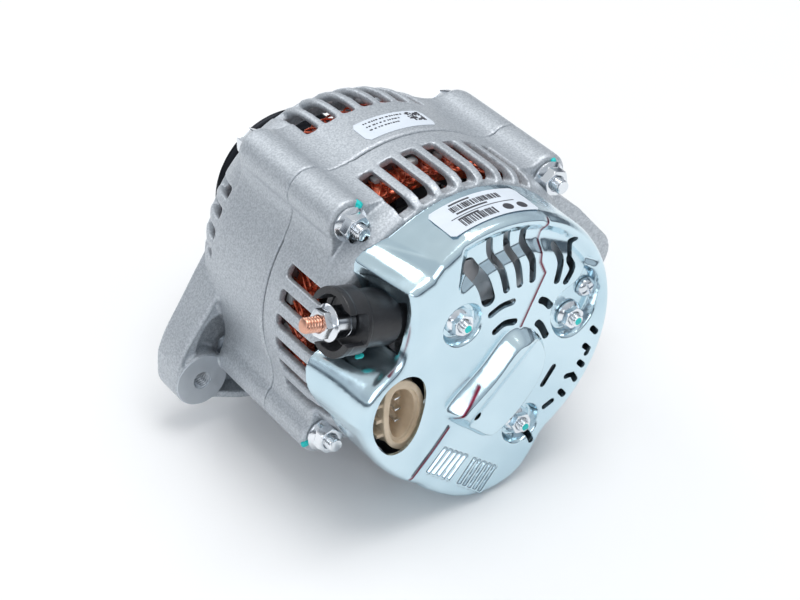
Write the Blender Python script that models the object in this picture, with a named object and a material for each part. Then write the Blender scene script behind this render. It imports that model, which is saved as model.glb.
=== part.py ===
"""Car alternator with an internal fan, built as separate solids.

Lengths below are millimetres, angles are degrees.  X points right as seen from the
rear cover, +Z is up and the rotor shaft lies along Y with the pulley at +Y.  While it is
being modelled Y is measured from the rear face of the four through bolt bosses;
publish() then moves the origin to the centre of the shaft's front end and converts
everything to metres.
"""

import math

import bmesh
import bpy
from mathutils import Matrix, Vector

SHAFT_END_Y = 122.0
GAP = 0.3

HOUSING_R = 61.6
STATOR_SEAT_R = 59.3
PARTING_Y = 30.0
HOUSING_FRONT_Y = 89.0
HOUSING_REAR_Y = -9.0

BOLT_CIRCLE_R = 66.0
BOLT_ANGLES = (36.2, 126.2, 216.2, 306.2)
BOLT_R = 3.0
BOLT_HOLE_R = 3.4
BOSS_R = 9.3
BOSS_REAR_Y = 2.5
BOSS_FRONT_Y = 66.5

EAR_CENTRE = (-70.2, -46.0)
EAR_R = 11.8
EAR_HOLE_R = 3.6
EAR_Y = (65.0, 81.0)
PIVOT_CENTRE = (81.0, -13.5)
PIVOT_R = 12.2
PIVOT_HOLE_R = 5.2
PIVOT_REAR_Y = (8.0, 29.5)
PIVOT_FRONT_Y = (58.0, 80.0)

SLOT_COUNT = 24
STATOR_Y = (22.0, 54.0)
STATOR_R = 59.0
STATOR_BORE_R = 46.5
BARREL_SEGMENTS = 40
ROTOR_R = 46.0
POLE_PAIRS = 6

SHAFT_R = 8.5
FRONT_BEARING = {"bore": 8.6, "inner": 12.8, "outer": 19.2, "rim": 23.5, "y": (74.0, 88.1)}
REAR_BEARING = {"bore": 7.5, "inner": 10.0, "outer": 13.3, "rim": 16.0, "y": (-12.4, -3.4)}

PULLEY_R = 32.0
PULLEY_Y = (92.0, 113.8)
PULLEY_GROOVES = 5
GROOVE_PITCH = 3.56

COVER_FACE_Y = -35.5
COVER_BASE_Y = -9.4
COVER_SHEET = 1.3
COVER_R = 57.6
COVER_CORNER = 3.5
WELL_DEPTH = 4.5
HUB_BOSS_Y = -42.0
COVER_STUDS = ((-14.4, 19.3), (14.7, -41.0), (38.5, 0.1))
COVER_SCREW = (46.4, 9.5)

TERMINAL_Y = -20.5
TERMINAL_ROOT = (-36.5, 24.8)
TERMINAL_ANGLE = 163.7
SHROUD_R = 13.0

SLIP_RING_R = 7.6
SLIP_RING_Y = ((-23.2, -17.2), (-30.6, -24.6))
BRUSH_SIZE = (6.0, 4.6, 11.0)

MATERIALS = {
    "cast_aluminium": ((0.62, 0.66, 0.71), 1.0, 0.5),
    "zinc_plated_steel": ((0.72, 0.79, 0.86), 1.0, 0.22),
    "bright_zinc": ((0.76, 0.78, 0.80), 1.0, 0.25),
    "bearing_steel": ((0.60, 0.61, 0.62), 1.0, 0.2),
    "machined_steel": ((0.50, 0.51, 0.52), 1.0, 0.3),
    "black_oxide": ((0.03, 0.03, 0.035), 0.6, 0.4),
    "lamination_steel": ((0.28, 0.28, 0.29), 0.9, 0.5),
    "enamelled_copper": ((0.45, 0.11, 0.06), 0.6, 0.3),
    "copper": ((0.80, 0.45, 0.30), 1.0, 0.3),
    "black_plastic": ((0.02, 0.02, 0.022), 0.0, 0.45),
    "tan_plastic": ((0.62, 0.48, 0.32), 0.0, 0.5),
    "brown_plastic": ((0.16, 0.09, 0.05), 0.0, 0.5),
    "carbon": ((0.05, 0.05, 0.05), 0.2, 0.6),
}


def clear_scene():
    for item in list(bpy.data.objects):
        bpy.data.objects.remove(item, do_unlink=True)


def material(name):
    found = bpy.data.materials.get(name)
    if found:
        return found
    colour, metallic, roughness = MATERIALS[name]
    made = bpy.data.materials.new(name)
    made.use_nodes = True
    shader = made.node_tree.nodes["Principled BSDF"]
    shader.inputs["Base Color"].default_value = (*colour, 1.0)
    shader.inputs["Metallic"].default_value = metallic
    shader.inputs["Roughness"].default_value = roughness
    made.diffuse_color = (*colour, 1.0)
    return made


def to_object(bm, name="piece"):
    bmesh.ops.recalc_face_normals(bm, faces=bm.faces)
    mesh = bpy.data.meshes.new(name)
    bm.to_mesh(mesh)
    bm.free()
    made = bpy.data.objects.new(name, mesh)
    bpy.context.scene.collection.objects.link(made)
    return made


def polar(radius, angle):
    turn = math.radians(angle)
    return radius * math.cos(turn), radius * math.sin(turn)


def revolve(profile, segments, closed=True):
    """Solid of revolution about Y from (radius, y) points; closed=True joins the ends."""
    bm = bmesh.new()
    rings = []
    for radius, y in profile:
        if radius < 1e-6:
            rings.append([bm.verts.new((0.0, y, 0.0))])
            continue
        ring = []
        for step in range(segments):
            x, z = polar(radius, 360.0 * step / segments)
            ring.append(bm.verts.new((x, y, z)))
        rings.append(ring)
    pairs = list(zip(rings, rings[1:]))
    if closed:
        pairs.append((rings[-1], rings[0]))
    for lower, upper in pairs:
        for step in range(segments):
            after = (step + 1) % segments
            corners = [lower[step % len(lower)], lower[after % len(lower)]]
            corners += [upper[after % len(upper)], upper[step % len(upper)]]
            unique = list(dict.fromkeys(corners))
            if len(unique) > 2:
                bm.faces.new(unique)
    return to_object(bm)


def loft(layers):
    """Closed solid through outlines [(y, [(x, z), ...]), ...] of equal point count."""
    bm = bmesh.new()
    rings = [[bm.verts.new((x, y, z)) for x, z in outline] for y, outline in layers]
    count = len(rings[0])
    for lower, upper in zip(rings, rings[1:]):
        for step in range(count):
            after = (step + 1) % count
            bm.faces.new((lower[step], lower[after], upper[after], upper[step]))
    bm.faces.new(rings[0])
    bm.faces.new(rings[-1])
    return to_object(bm)


def prism(outline, y_low, y_high):
    return loft([(y_low, outline), (y_high, outline)])


def circle(centre, radius, segments, start=0.0):
    points = []
    for step in range(segments):
        x, z = polar(radius, start + 360.0 * step / segments)
        points.append((centre[0] + x, centre[1] + z))
    return points


def arc(radius, first, last, steps, centre=(0.0, 0.0)):
    points = []
    for step in range(steps + 1):
        x, z = polar(radius, first + (last - first) * step / steps)
        points.append((centre[0] + x, centre[1] + z))
    return points


def cylinder(centre, radius, y_low, y_high, segments=16):
    return prism(circle(centre, radius, segments, 4.0), y_low, y_high)


def block(x_range, y_range, z_range):
    corners = [(x_range[0], z_range[0]), (x_range[1], z_range[0])]
    corners += [(x_range[1], z_range[1]), (x_range[0], z_range[1])]
    return prism(corners, *y_range)


def inset(outline, distance):
    """Outline moved inwards by a distance; the points run anticlockwise in (x, z)."""
    moved = []
    count = len(outline)
    for index, (x, z) in enumerate(outline):
        before = Vector(outline[index - 1])
        after = Vector(outline[(index + 1) % count])
        here = Vector((x, z))
        inward = Vector((0.0, 0.0))
        for edge in ((here - before).normalized(), (after - here).normalized()):
            inward += Vector((-edge.y, edge.x))
        inward.normalize()
        edge = (after - here).normalized()
        stretch = max(inward.dot(Vector((-edge.y, edge.x))), 0.5)
        moved.append(tuple(here + inward * distance / stretch))
    return moved


def ribbon(path, width):
    """Outline of a strip of constant width along a path."""
    left, right = [], []
    for index, point in enumerate(path):
        before = Vector(path[max(index - 1, 0)])
        after = Vector(path[min(index + 1, len(path) - 1)])
        along = (after - before).normalized()
        side = Vector((-along.y, along.x)) * width / 2.0
        left.append(tuple(Vector(point) + side))
        right.append(tuple(Vector(point) - side))
    return left + right[::-1]


def turned(obj, angle):
    """Rotate about the shaft axis, positive from +X towards +Z."""
    obj.data.transform(Matrix.Rotation(-math.radians(angle), 4, "Y"))
    return obj


def combined(pieces):
    """One mesh object out of several disjoint ones, used as a shared boolean tool."""
    bm = bmesh.new()
    for piece in pieces:
        bm.from_mesh(piece.data)
        bpy.data.objects.remove(piece, do_unlink=True)
    return to_object(bm)


def boolean(target, tools, operation):
    for tool in tools:
        tool.hide_render = True
        tool.display_type = "WIRE"
        step = target.modifiers.new("step", "BOOLEAN")
        step.operation = operation
        step.solver = "EXACT"
        step.object = tool
        graph = bpy.context.evaluated_depsgraph_get()
        result = bpy.data.meshes.new_from_object(target.evaluated_get(graph))
        target.modifiers.clear()
        target.data = result
        bpy.data.objects.remove(tool, do_unlink=True)
    return target


def join(target, *tools):
    return boolean(target, tools, "UNION")


def cut(target, *tools):
    return boolean(target, tools, "DIFFERENCE")


def publish(obj, name, material_name, pivot=(0.0, 0.0, 0.0)):
    """Name a finished solid, give it its own material and put it in the metre frame."""
    pivot = Vector(pivot)
    bm = bmesh.new()
    bm.from_mesh(obj.data)
    bmesh.ops.remove_doubles(bm, verts=bm.verts, dist=1e-4)
    bmesh.ops.triangulate(bm, faces=bm.faces)
    bmesh.ops.recalc_face_normals(bm, faces=bm.faces)
    bmesh.ops.translate(bm, verts=bm.verts, vec=-pivot)
    bmesh.ops.scale(bm, verts=bm.verts, vec=(0.001, 0.001, 0.001))
    mesh = bpy.data.meshes.new(name)
    bm.to_mesh(mesh)
    bm.free()
    mesh.shade_smooth()
    mesh.set_sharp_from_angle(angle=math.radians(32.0))
    mesh.materials.clear()
    mesh.materials.append(material(material_name))
    obj.data = mesh
    obj.name = name
    obj.location = (pivot - Vector((0.0, SHAFT_END_Y, 0.0))) * 0.001
    return obj


def bolt_centres():
    return [polar(BOLT_CIRCLE_R, angle) for angle in BOLT_ANGLES]


def bolt_bosses(y_low, y_high):
    """Axial bosses for the through bolts with broad flanks running into the barrel."""
    crown = arc(BOSS_R, -75.0, 75.0, 4, (BOLT_CIRCLE_R, 0.0))
    foot = [polar(HOUSING_R - 3.0, 17.0), polar(HOUSING_R - 3.0, -17.0)]
    return [turned(prism(crown + foot, y_low, y_high), angle) for angle in BOLT_ANGLES]


def bolt_holes():
    return combined([cylinder(c, BOLT_HOLE_R, -30.0, 120.0, 10) for c in bolt_centres()])


def radial_slots(angles, width, y_low, y_high, r_low, r_high):
    slots = []
    for angle in angles:
        slot = block((r_low, r_high), (y_low, y_high), (-width / 2.0, width / 2.0))
        slots.append(turned(slot, angle))
    return combined(slots)


def spaced(first, count, pitch):
    return [first + pitch * index for index in range(count)]


def pivot_lug(y_range):
    """Lug that carries the long mounting bolt, tangent to the barrel on both sides."""
    top = polar(HOUSING_R - 2.0, 22.0)
    bottom = polar(HOUSING_R - 2.0, -38.0)
    outline = [bottom] + arc(PIVOT_R, -70.0, 42.0, 5, PIVOT_CENTRE) + [top]
    return prism(outline + [polar(HOUSING_R - 8.0, -8.0)], *y_range)


def adjuster_ear():
    """Slotted slab and round boss for the belt adjusting screw."""
    slab = [(-56.2, 1.4), (-68.5, -16.2), (-80.7, -31.0)]
    slab += arc(EAR_R, 160.0, 290.0, 6, EAR_CENTRE)
    slab += [(-46.0, -61.0), (-36.0, -45.0), (-50.0, -15.0)]
    ear = prism(slab, EAR_Y[0] + 6.0, EAR_Y[1])
    return join(ear, cylinder(EAR_CENTRE, EAR_R, EAR_Y[0], EAR_Y[1], 16))


def front_housing():
    outer = [(0.0, PARTING_Y + 0.15), (HOUSING_R, PARTING_Y + 0.15), (HOUSING_R, 60.0)]
    outer += [(60.2, 71.0), (56.2, 81.0), (50.5, HOUSING_FRONT_Y), (30.0, HOUSING_FRONT_Y)]
    outer += [(29.0, 90.6), (0.0, 90.6)]
    body = revolve(outer, BARREL_SEGMENTS, closed=False)
    join(body, *bolt_bosses(PARTING_Y + 0.15, BOSS_FRONT_Y))
    join(body, adjuster_ear(), pivot_lug(PIVOT_FRONT_Y))
    cavity = [(0.0, PARTING_Y - 5.0), (STATOR_SEAT_R, PARTING_Y - 5.0), (STATOR_SEAT_R, 54.3)]
    cavity += [(57.4, 54.3), (57.4, 67.0), (53.0, 78.0), (47.0, 84.0), (28.5, 84.0)]
    cavity += [(28.5, 73.2), (23.8, 73.2), (23.8, 88.4), (20.0, 88.4), (20.0, 95.0), (0.0, 95.0)]
    cut(body, revolve(cavity, BARREL_SEGMENTS, closed=False), bolt_holes())
    top = radial_slots(spaced(108.4, 8, -8.2), 5.2, 56.0, 82.5, 45.0, 66.0)
    left = radial_slots(spaced(146.0, 4, 8.5), 4.8, 69.0, 82.5, 45.0, 66.0)
    low = radial_slots(spaced(244.0, 5, 9.2), 5.2, 56.0, 82.5, 45.0, 66.0)
    right = radial_slots((-36.0, 20.5), 5.2, 56.0, 82.5, 45.0, 66.0)
    cut(body, top, left, low, right)
    intakes = [prism(arc(44.0, a, a + 40.0, 2) + arc(33.0, a + 40.0, a, 2), 80.0, 95.0)
               for a in spaced(10.0, 6, 60.0)]
    cut(body, combined(intakes))
    cut(body, combined([cylinder(c, 7.6, BOSS_FRONT_Y, 100.0, 14) for c in bolt_centres()]))
    cut(body, cylinder(EAR_CENTRE, EAR_HOLE_R, 60.0, 90.0, 12))
    cut(body, cylinder(PIVOT_CENTRE, PIVOT_HOLE_R, 50.0, 90.0, 12))
    for angle in (90.0, 210.0, 330.0):
        cut(body, cylinder(polar(26.0, angle), 1.5, 70.0, 82.0, 8))
    publish(body, "front_housing", "cast_aluminium")


def rear_housing():
    outer = [(0.0, HOUSING_REAR_Y), (57.0, HOUSING_REAR_Y), (60.4, -6.0)]
    outer += [(HOUSING_R, -1.0), (HOUSING_R, PARTING_Y - 0.15), (0.0, PARTING_Y - 0.15)]
    body = revolve(outer, BARREL_SEGMENTS, closed=False)
    hub = cylinder((0.0, 0.0), 18.5, -14.0, -8.0, 24)
    join(body, hub, *bolt_bosses(BOSS_REAR_Y, PARTING_Y - 0.15))
    join(body, pivot_lug(PIVOT_REAR_Y))
    cavity = [(0.0, -16.0), (11.5, -16.0), (11.5, -12.7), (16.3, -12.7), (16.3, -1.0)]
    cavity += [(19.0, -1.0), (19.0, -4.5), (53.0, -4.5), (57.4, 0.0)]
    cavity += [(57.4, 21.7), (STATOR_SEAT_R, 21.7), (STATOR_SEAT_R, 35.0), (0.0, 35.0)]
    cut(body, revolve(cavity, BARREL_SEGMENTS, closed=False), bolt_holes())
    top = radial_slots(spaced(109.3, 7, -9.2), 5.4, -1.0, 20.0, 50.0, 66.0)
    left = radial_slots(spaced(152.6, 6, 9.9), 5.0, -1.0, 21.0, 50.0, 66.0)
    low = radial_slots(spaced(241.0, 5, 9.4), 5.4, -1.0, 20.0, 50.0, 66.0)
    cut(body, top, left, low)
    cut(body, combined([cylinder(c, 8.0, -20.0, BOSS_REAR_Y, 14) for c in bolt_centres()]))
    intakes = [prism(arc(47.0, a, b, 2) + arc(27.0, b, a, 2), -12.0, 0.0)
               for a, b in ((22.0, 62.0), (68.0, 108.0), (142.0, 192.0), (202.0, 252.0), (-52.0, -14.0))]
    cut(body, combined(intakes))
    cut(body, cylinder(PIVOT_CENTRE, PIVOT_HOLE_R, 0.0, 40.0, 12))
    for centre in COVER_STUDS:
        cut(body, cylinder(centre, 2.8, -12.0, 0.0, 10))
    publish(body, "rear_housing", "cast_aluminium")


def stator_core():
    outline = []
    pitch = 360.0 / SLOT_COUNT
    for index in range(SLOT_COUNT):
        start = index * pitch
        outline += [polar(STATOR_BORE_R, start + 1.8), polar(STATOR_BORE_R, start + pitch - 1.8)]
        outline += [polar(55.2, start + pitch - 4.4), polar(55.2, start + pitch + 4.4)]
    core = revolve([(45.0, STATOR_Y[0]), (STATOR_R, STATOR_Y[0]), (STATOR_R, STATOR_Y[1]),
                    (45.0, STATOR_Y[1])], BARREL_SEGMENTS)
    cut(core, prism(outline, STATOR_Y[0] - 5.0, STATOR_Y[1] + 5.0))
    publish(core, "stator_core", "lamination_steel")


def stator_winding():
    pitch = 360.0 / SLOT_COUNT
    ends = []
    for near, far in ((STATOR_Y[0] - GAP, STATOR_Y[0] - 12.5), (STATOR_Y[1] + GAP, STATOR_Y[1] + 12.5)):
        mid = (near + far) / 2.0
        profile = [(48.6, near), (54.8, near), (56.2, mid), (53.6, far), (49.8, far), (48.0, mid)]
        ends.append(revolve(profile, SLOT_COUNT))
    bars = []
    for index in range(SLOT_COUNT):
        bar = block((49.4, 54.4), (STATOR_Y[0] - 2.0, STATOR_Y[1] + 2.0), (-2.0, 2.0))
        bars.append(turned(bar, (index + 1.0) * pitch))
    winding = combined(bars)
    join(winding, *ends)
    publish(winding, "stator_winding", "enamelled_copper")


def ring(name, material_name, r_low, r_high, y_range, segments):
    low, high = y_range
    profile = [(r_low, low), (r_high, low), (r_high, high), (r_low, high)]
    publish(revolve(profile, segments), name, material_name, (0.0, sum(y_range) / 2.0, 0.0))


def bearing(prefix, size, balls, segments):
    ring(f"{prefix}_bearing_outer_race", "bearing_steel", size["outer"], size["rim"], size["y"], segments)
    ring(f"{prefix}_bearing_inner_race", "bearing_steel", size["bore"], size["inner"], size["y"], segments)
    middle = sum(size["y"]) / 2.0
    pitch_r = (size["inner"] + size["outer"]) / 2.0
    ball_r = (size["outer"] - size["inner"]) / 2.0 - GAP
    bar = ball_r * 0.3
    cage = revolve([(pitch_r - bar, middle - bar), (pitch_r + bar, middle - bar),
                    (pitch_r + bar, middle + bar), (pitch_r - bar, middle + bar)], balls)
    for index in range(balls):
        bm = bmesh.new()
        bmesh.ops.create_icosphere(bm, subdivisions=1, radius=ball_r)
        x, z = polar(pitch_r, 360.0 * index / balls)
        bmesh.ops.translate(bm, verts=bm.verts, vec=(x, middle, z))
        join(cage, to_object(bm))
    publish(cage, f"{prefix}_bearing_balls", "bearing_steel", (0.0, middle, 0.0))


def bearing_retainer():
    plate = revolve([(20.4, 71.6), (30.5, 71.6), (30.5, 72.9), (20.4, 72.9)], 24)
    for index, angle in enumerate((90.0, 210.0, 330.0), start=1):
        centre = polar(26.0, angle)
        cut(plate, cylinder(centre, 1.6, 70.0, 75.0, 8))
        screw = cylinder(centre, 2.6, 69.4, 71.3, 8)
        join(screw, cylinder(centre, 1.2, 71.0, 80.0, 8))
        publish(screw, f"retainer_screw_{index}", "bright_zinc", (centre[0], 71.3, centre[1]))
    publish(plate, "bearing_retainer_plate", "bright_zinc")


def hexagon(across_flats, start=0.0):
    return circle((0.0, 0.0), across_flats / math.sqrt(3.0), 6, start)


def moved(obj, centre):
    obj.data.transform(Matrix.Translation((centre[0], 0.0, centre[1])))
    return obj


def flange_nut(centre, seat_y, across_flats, bore_r, turn):
    """Hexagon flange nut on the -Y side of its seat."""
    flange_r = across_flats * 0.72
    body = revolve([(0.0, seat_y), (flange_r, seat_y), (flange_r, seat_y - 1.1),
                    (across_flats * 0.52, seat_y - 2.2), (0.0, seat_y - 2.2)], 12, closed=False)
    height = across_flats * 0.6
    join(body, prism(hexagon(across_flats, turn), seat_y - height, seat_y - 1.0))
    cut(body, cylinder((0.0, 0.0), bore_r, seat_y - 20.0, seat_y + 5.0, 8))
    return moved(body, centre)


def through_bolts():
    for index, centre in enumerate(bolt_centres(), start=1):
        bolt = cylinder((0.0, 0.0), BOLT_R, -7.5, BOSS_FRONT_Y + 2.0, 10)
        head = prism(hexagon(10.0), BOSS_FRONT_Y + GAP, BOSS_FRONT_Y + 5.5)
        flange = cylinder((0.0, 0.0), 7.0, BOSS_FRONT_Y + GAP, BOSS_FRONT_Y + 1.8, 14)
        join(bolt, head, flange)
        publish(moved(bolt, centre), f"through_bolt_{index}", "bright_zinc", (centre[0], 0.0, centre[1]))
        nut = flange_nut(centre, BOSS_REAR_Y - GAP, 10.0, BOLT_R + GAP, 12.0 * index)
        publish(nut, f"through_bolt_nut_{index}", "bright_zinc", (centre[0], 0.0, centre[1]))


def rotor_shaft():
    profile = [(0.0, -32.0), (4.6, -32.0), (5.0, -31.5), (5.0, -14.5), (7.2, -14.5), (7.2, -2.6)]
    profile += [(SHAFT_R + 0.4, -2.6), (SHAFT_R + 0.4, 73.4), (SHAFT_R - 0.2, 73.4), (SHAFT_R - 0.2, 88.3)]
    profile += [(7.0, 88.3), (7.0, SHAFT_END_Y - 0.8), (6.2, SHAFT_END_Y), (0.0, SHAFT_END_Y)]
    publish(revolve(profile, 16, closed=False), "rotor_shaft", "machined_steel", (0.0, 40.0, 0.0))


def claw_pole(name, disc_y, tip_y, first_angle):
    """Pole disc with fingers that lie over the field coil and taper towards their tips."""
    side = 1.0 if tip_y > disc_y[1] else -1.0
    back = disc_y[0] if side > 0.0 else disc_y[1]
    front = disc_y[1] if side > 0.0 else disc_y[0]
    hub_end = 38.0 - side * 0.2
    profile = [(9.3, back), (30.0, back), (30.0, front), (15.0, front), (15.0, hub_end), (9.3, hub_end)]
    pole = revolve(profile, 18)
    for angle in spaced(first_angle, POLE_PAIRS, 360.0 / POLE_PAIRS):
        bm = bmesh.new()
        sections = ((back, 26.0, ROTOR_R - 1.2, 7.2), (front, 26.0, ROTOR_R - 0.1, 7.2),
                    (front + side * 0.3, 38.2, ROTOR_R - 0.1, 7.2), (tip_y, 42.0, ROTOR_R - 0.3, 3.2))
        rings = []
        for y, r_low, r_high, half in sections:
            corners = ((r_low, -half), (r_high - half * half / 92.0, -half), (r_high, 0.0),
                       (r_high - half * half / 92.0, half), (r_low, half))
            rings.append([bm.verts.new((x, y, z)) for x, z in corners])
        for lower, upper in zip(rings, rings[1:]):
            for step in range(5):
                after = (step + 1) % 5
                bm.faces.new((lower[step], lower[after], upper[after], upper[step]))
        bm.faces.new(rings[0])
        bm.faces.new(rings[-1])
        join(pole, turned(to_object(bm), angle))
    publish(pole, name, "lamination_steel", (0.0, sum(disc_y) / 2.0, 0.0))


def fan(name, disc_y, blade_y, blades, phase):
    disc = revolve([(9.4, disc_y[0]), (40.0, disc_y[0]), (40.0, disc_y[1]), (9.4, disc_y[1])], 24)
    reach = sorted((blade_y, sum(disc_y) / 2.0))
    for index in range(blades):
        outline = ribbon([(27.0, 0.0), (35.5, 3.2), (44.0, 8.6)], 1.2)
        join(disc, turned(prism(outline, *reach), phase + 360.0 * index / blades))
    publish(disc, name, "machined_steel", (0.0, sum(disc_y) / 2.0, 0.0))


def rotor():
    rotor_shaft()
    claw_pole("front_claw_pole", (50.0, 58.0), 20.5, 0.0)
    claw_pole("rear_claw_pole", (18.0, 26.0), 55.5, 30.0)
    ring("field_coil", "enamelled_copper", 15.4, 36.5, (26.8, 49.2), 24)
    fan("front_fan", (58.3, 59.4), 68.5, 9, 0.0)
    fan("rear_fan", (16.6, 17.7), 7.0, 8, 20.0)
    ring("slip_ring_sleeve", "brown_plastic", 5.3, 6.2, (-31.4, -15.0), 16)
    for index, y_range in enumerate(SLIP_RING_Y, start=1):
        ring(f"slip_ring_{index}", "copper", 6.5, SLIP_RING_R, y_range, 18)


def pulley():
    """Poly-V pulley with a hub that reaches through to the front bearing."""
    low, high = PULLEY_Y
    profile = [(7.3, 88.6), (11.8, 88.6), (11.8, low), (PULLEY_R - 1.5, low)]
    profile += [(PULLEY_R, low + 0.6), (PULLEY_R, low + 1.8)]
    start = (low + high - PULLEY_GROOVES * GROOVE_PITCH) / 2.0
    for index in range(PULLEY_GROOVES):
        y = start + index * GROOVE_PITCH
        profile += [(PULLEY_R - 0.6, y + 0.2), (PULLEY_R - 3.2, y + GROOVE_PITCH / 2.0)]
    profile += [(PULLEY_R - 0.6, high - 2.0), (PULLEY_R, high - 1.7), (PULLEY_R, high - 0.6)]
    profile += [(PULLEY_R - 1.0, high), (25.0, high), (23.0, high - 7.0), (7.3, high - 7.0)]
    publish(revolve(profile, 32), "pulley", "black_oxide", (0.0, low, 0.0))
    nut = prism(hexagon(24.0), high - 6.7, SHAFT_END_Y - 4.0)
    cut(nut, cylinder((0.0, 0.0), 7.3, 100.0, 130.0, 16))
    publish(nut, "pulley_nut", "bright_zinc", (0.0, high, 0.0))


def cover_outline():
    outline = arc(COVER_R, -60.0, 131.0, 20)
    outline += [(-38.2, 34.5), (-39.8, 26.6), (-41.1, 18.5), (-44.9, 12.3), (-51.6, 9.3)]
    outline += [(-55.9, 5.9), (-59.0, 1.3)] + arc(60.2, 183.0, 236.0, 7)
    lobe = ((64.8, -111.0), (68.2, -102.0), (70.3, -92.0), (69.6, -81.0), (66.2, -73.0), (60.5, -66.0))
    for radius, angle in lobe:
        outline.append(polar(radius, angle))
    return outline


def hub_boss_outline():
    return [(-23.0, -19.0), (-16.0, -25.0), (-8.0, -34.0), (-1.0, -39.0), (5.0, -36.0), (16.0, -28.0),
            (23.5, -14.0), (22.5, -5.0), (18.0, 3.0), (11.0, 6.5), (2.0, 2.5), (-8.0, -6.5), (-23.5, -14.5)]


def shared_well_outline():
    return [(31.5, -6.5), (41.0, -8.0), (49.0, -1.5), (51.7, 11.0), (46.5, 21.0), (41.5, 24.0),
            (38.0, 18.5), (29.5, 14.5), (26.2, 7.0)]


def cover_wells():
    """Cups pressed into the cover so that its nuts sit below the face."""
    bottom = COVER_FACE_Y + WELL_DEPTH
    cups = [cylinder(COVER_STUDS[0], 9.0, COVER_FACE_Y + 0.4, bottom + COVER_SHEET, 20)]
    cups.append(cylinder(COVER_STUDS[1], 9.0, COVER_FACE_Y + 0.4, bottom + COVER_SHEET, 20))
    cups.append(prism(inset(shared_well_outline(), -1.2), COVER_FACE_Y + 0.4, bottom + COVER_SHEET))
    hollows = [cylinder(COVER_STUDS[0], 7.8, COVER_FACE_Y - 5.0, bottom, 20)]
    hollows.append(cylinder(COVER_STUDS[1], 7.8, COVER_FACE_Y - 5.0, bottom, 20))
    hollows.append(prism(shared_well_outline(), COVER_FACE_Y - 5.0, bottom))
    return cups, hollows


def cover_vents():
    paths = [[(-10.8, 43.3), (-5.8, 34.5), (-3.4, 26.5)]]
    paths.append([(-1.2, 50.0), (-1.0, 44.5), (2.9, 36.0), (5.0, 27.4)])
    paths.append([(6.7, 50.6), (6.6, 43.9), (10.0, 35.7), (11.2, 27.4)])
    paths.append([(14.6, 50.0), (13.9, 42.8), (16.7, 35.6), (17.1, 27.2)])
    paths += [[(27.8, 37.1), (30.3, 29.9), (29.2, 21.7)], [(-1.8, 18.9), (8.0, 20.0)]]
    paths += [[(0.3, 10.0), (9.2, 10.6)]]
    paths += [[(21.7, 16.0), (24.5, 12.0)], [(21.4, 5.0), (24.6, -2.0)]]
    slots = [prism(ribbon(path, 3.0), COVER_FACE_Y - 5.0, COVER_FACE_Y + 2.5) for path in paths]
    holes = ((49.5, -10.6), (46.0, -18.0), (43.5, -24.5), (38.0, -31.5), (31.0, -35.9), (25.4, -40.0))
    slots += [cylinder(hole, 1.7, COVER_FACE_Y - 5.0, COVER_FACE_Y + 2.5, 8) for hole in holes]
    return combined(slots)


def cover_louvres():
    slats = []
    for corner, far in (((-21.4, -34.8), (-10.3, -44.1)), ((-8.0, -46.7), (4.0, -57.1))):
        for index in range(5):
            share = (index + 0.5) / 5.0
            x = corner[0] + (far[0] - corner[0]) * share
            z = corner[1] + (far[1] - corner[1]) * share
            path = [(x, z), (x - 9.4, z - 8.0)]
            slats.append(prism(ribbon(path, 1.3), COVER_FACE_Y - 1.2, COVER_FACE_Y + 0.5))
    return slats


def rear_cover():
    outline = cover_outline()
    cover = loft([(COVER_BASE_Y, outline), (COVER_FACE_Y + COVER_CORNER, outline),
                  (COVER_FACE_Y + 1.0, inset(outline, 1.0)), (COVER_FACE_Y, inset(outline, COVER_CORNER))])
    join(cover, prism(hub_boss_outline(), HUB_BOSS_Y, COVER_FACE_Y + 1.0))
    inner = inset(outline, COVER_SHEET)
    corner = inset(outline, COVER_SHEET + 2.4)
    hollow = loft([(COVER_BASE_Y + 2.0, inner), (COVER_FACE_Y + COVER_CORNER, inner),
                   (COVER_FACE_Y + COVER_SHEET, corner)])
    join(hollow, prism(inset(hub_boss_outline(), COVER_SHEET), HUB_BOSS_Y + COVER_SHEET, COVER_FACE_Y + 2.0))
    cut(cover, hollow)
    cups, hollows = cover_wells()
    join(cover, *cups)
    cut(cover, *hollows)
    holes = [cylinder(centre, 2.8, COVER_FACE_Y - 1.0, COVER_FACE_Y + 8.0, 12) for centre in COVER_STUDS]
    holes.append(cylinder(COVER_SCREW, 2.3, COVER_FACE_Y - 1.0, COVER_FACE_Y + 8.0, 10))
    socket = circle((0.0, 0.0), 1.0, 18)
    oval = [(-43.0 + 12.0 * x - 0.6 * z, -10.5 + 17.0 * z) for x, z in socket]
    holes.append(prism(oval, COVER_FACE_Y - 1.0, COVER_FACE_Y + 3.0))
    cut(cover, combined(holes), cover_vents())
    x, z = polar(1.0, TERMINAL_ANGLE)
    path = [(TERMINAL_ROOT[0] + along * x, TERMINAL_ROOT[1] + along * z) for along in (-4.0, 12.0)]
    cut(cover, prism(ribbon(path, 21.8), TERMINAL_Y - 10.9, COVER_BASE_Y + 3.0))
    join(cover, *cover_louvres())
    publish(cover, "rear_cover", "zinc_plated_steel", (0.0, COVER_FACE_Y, 0.0))


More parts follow.
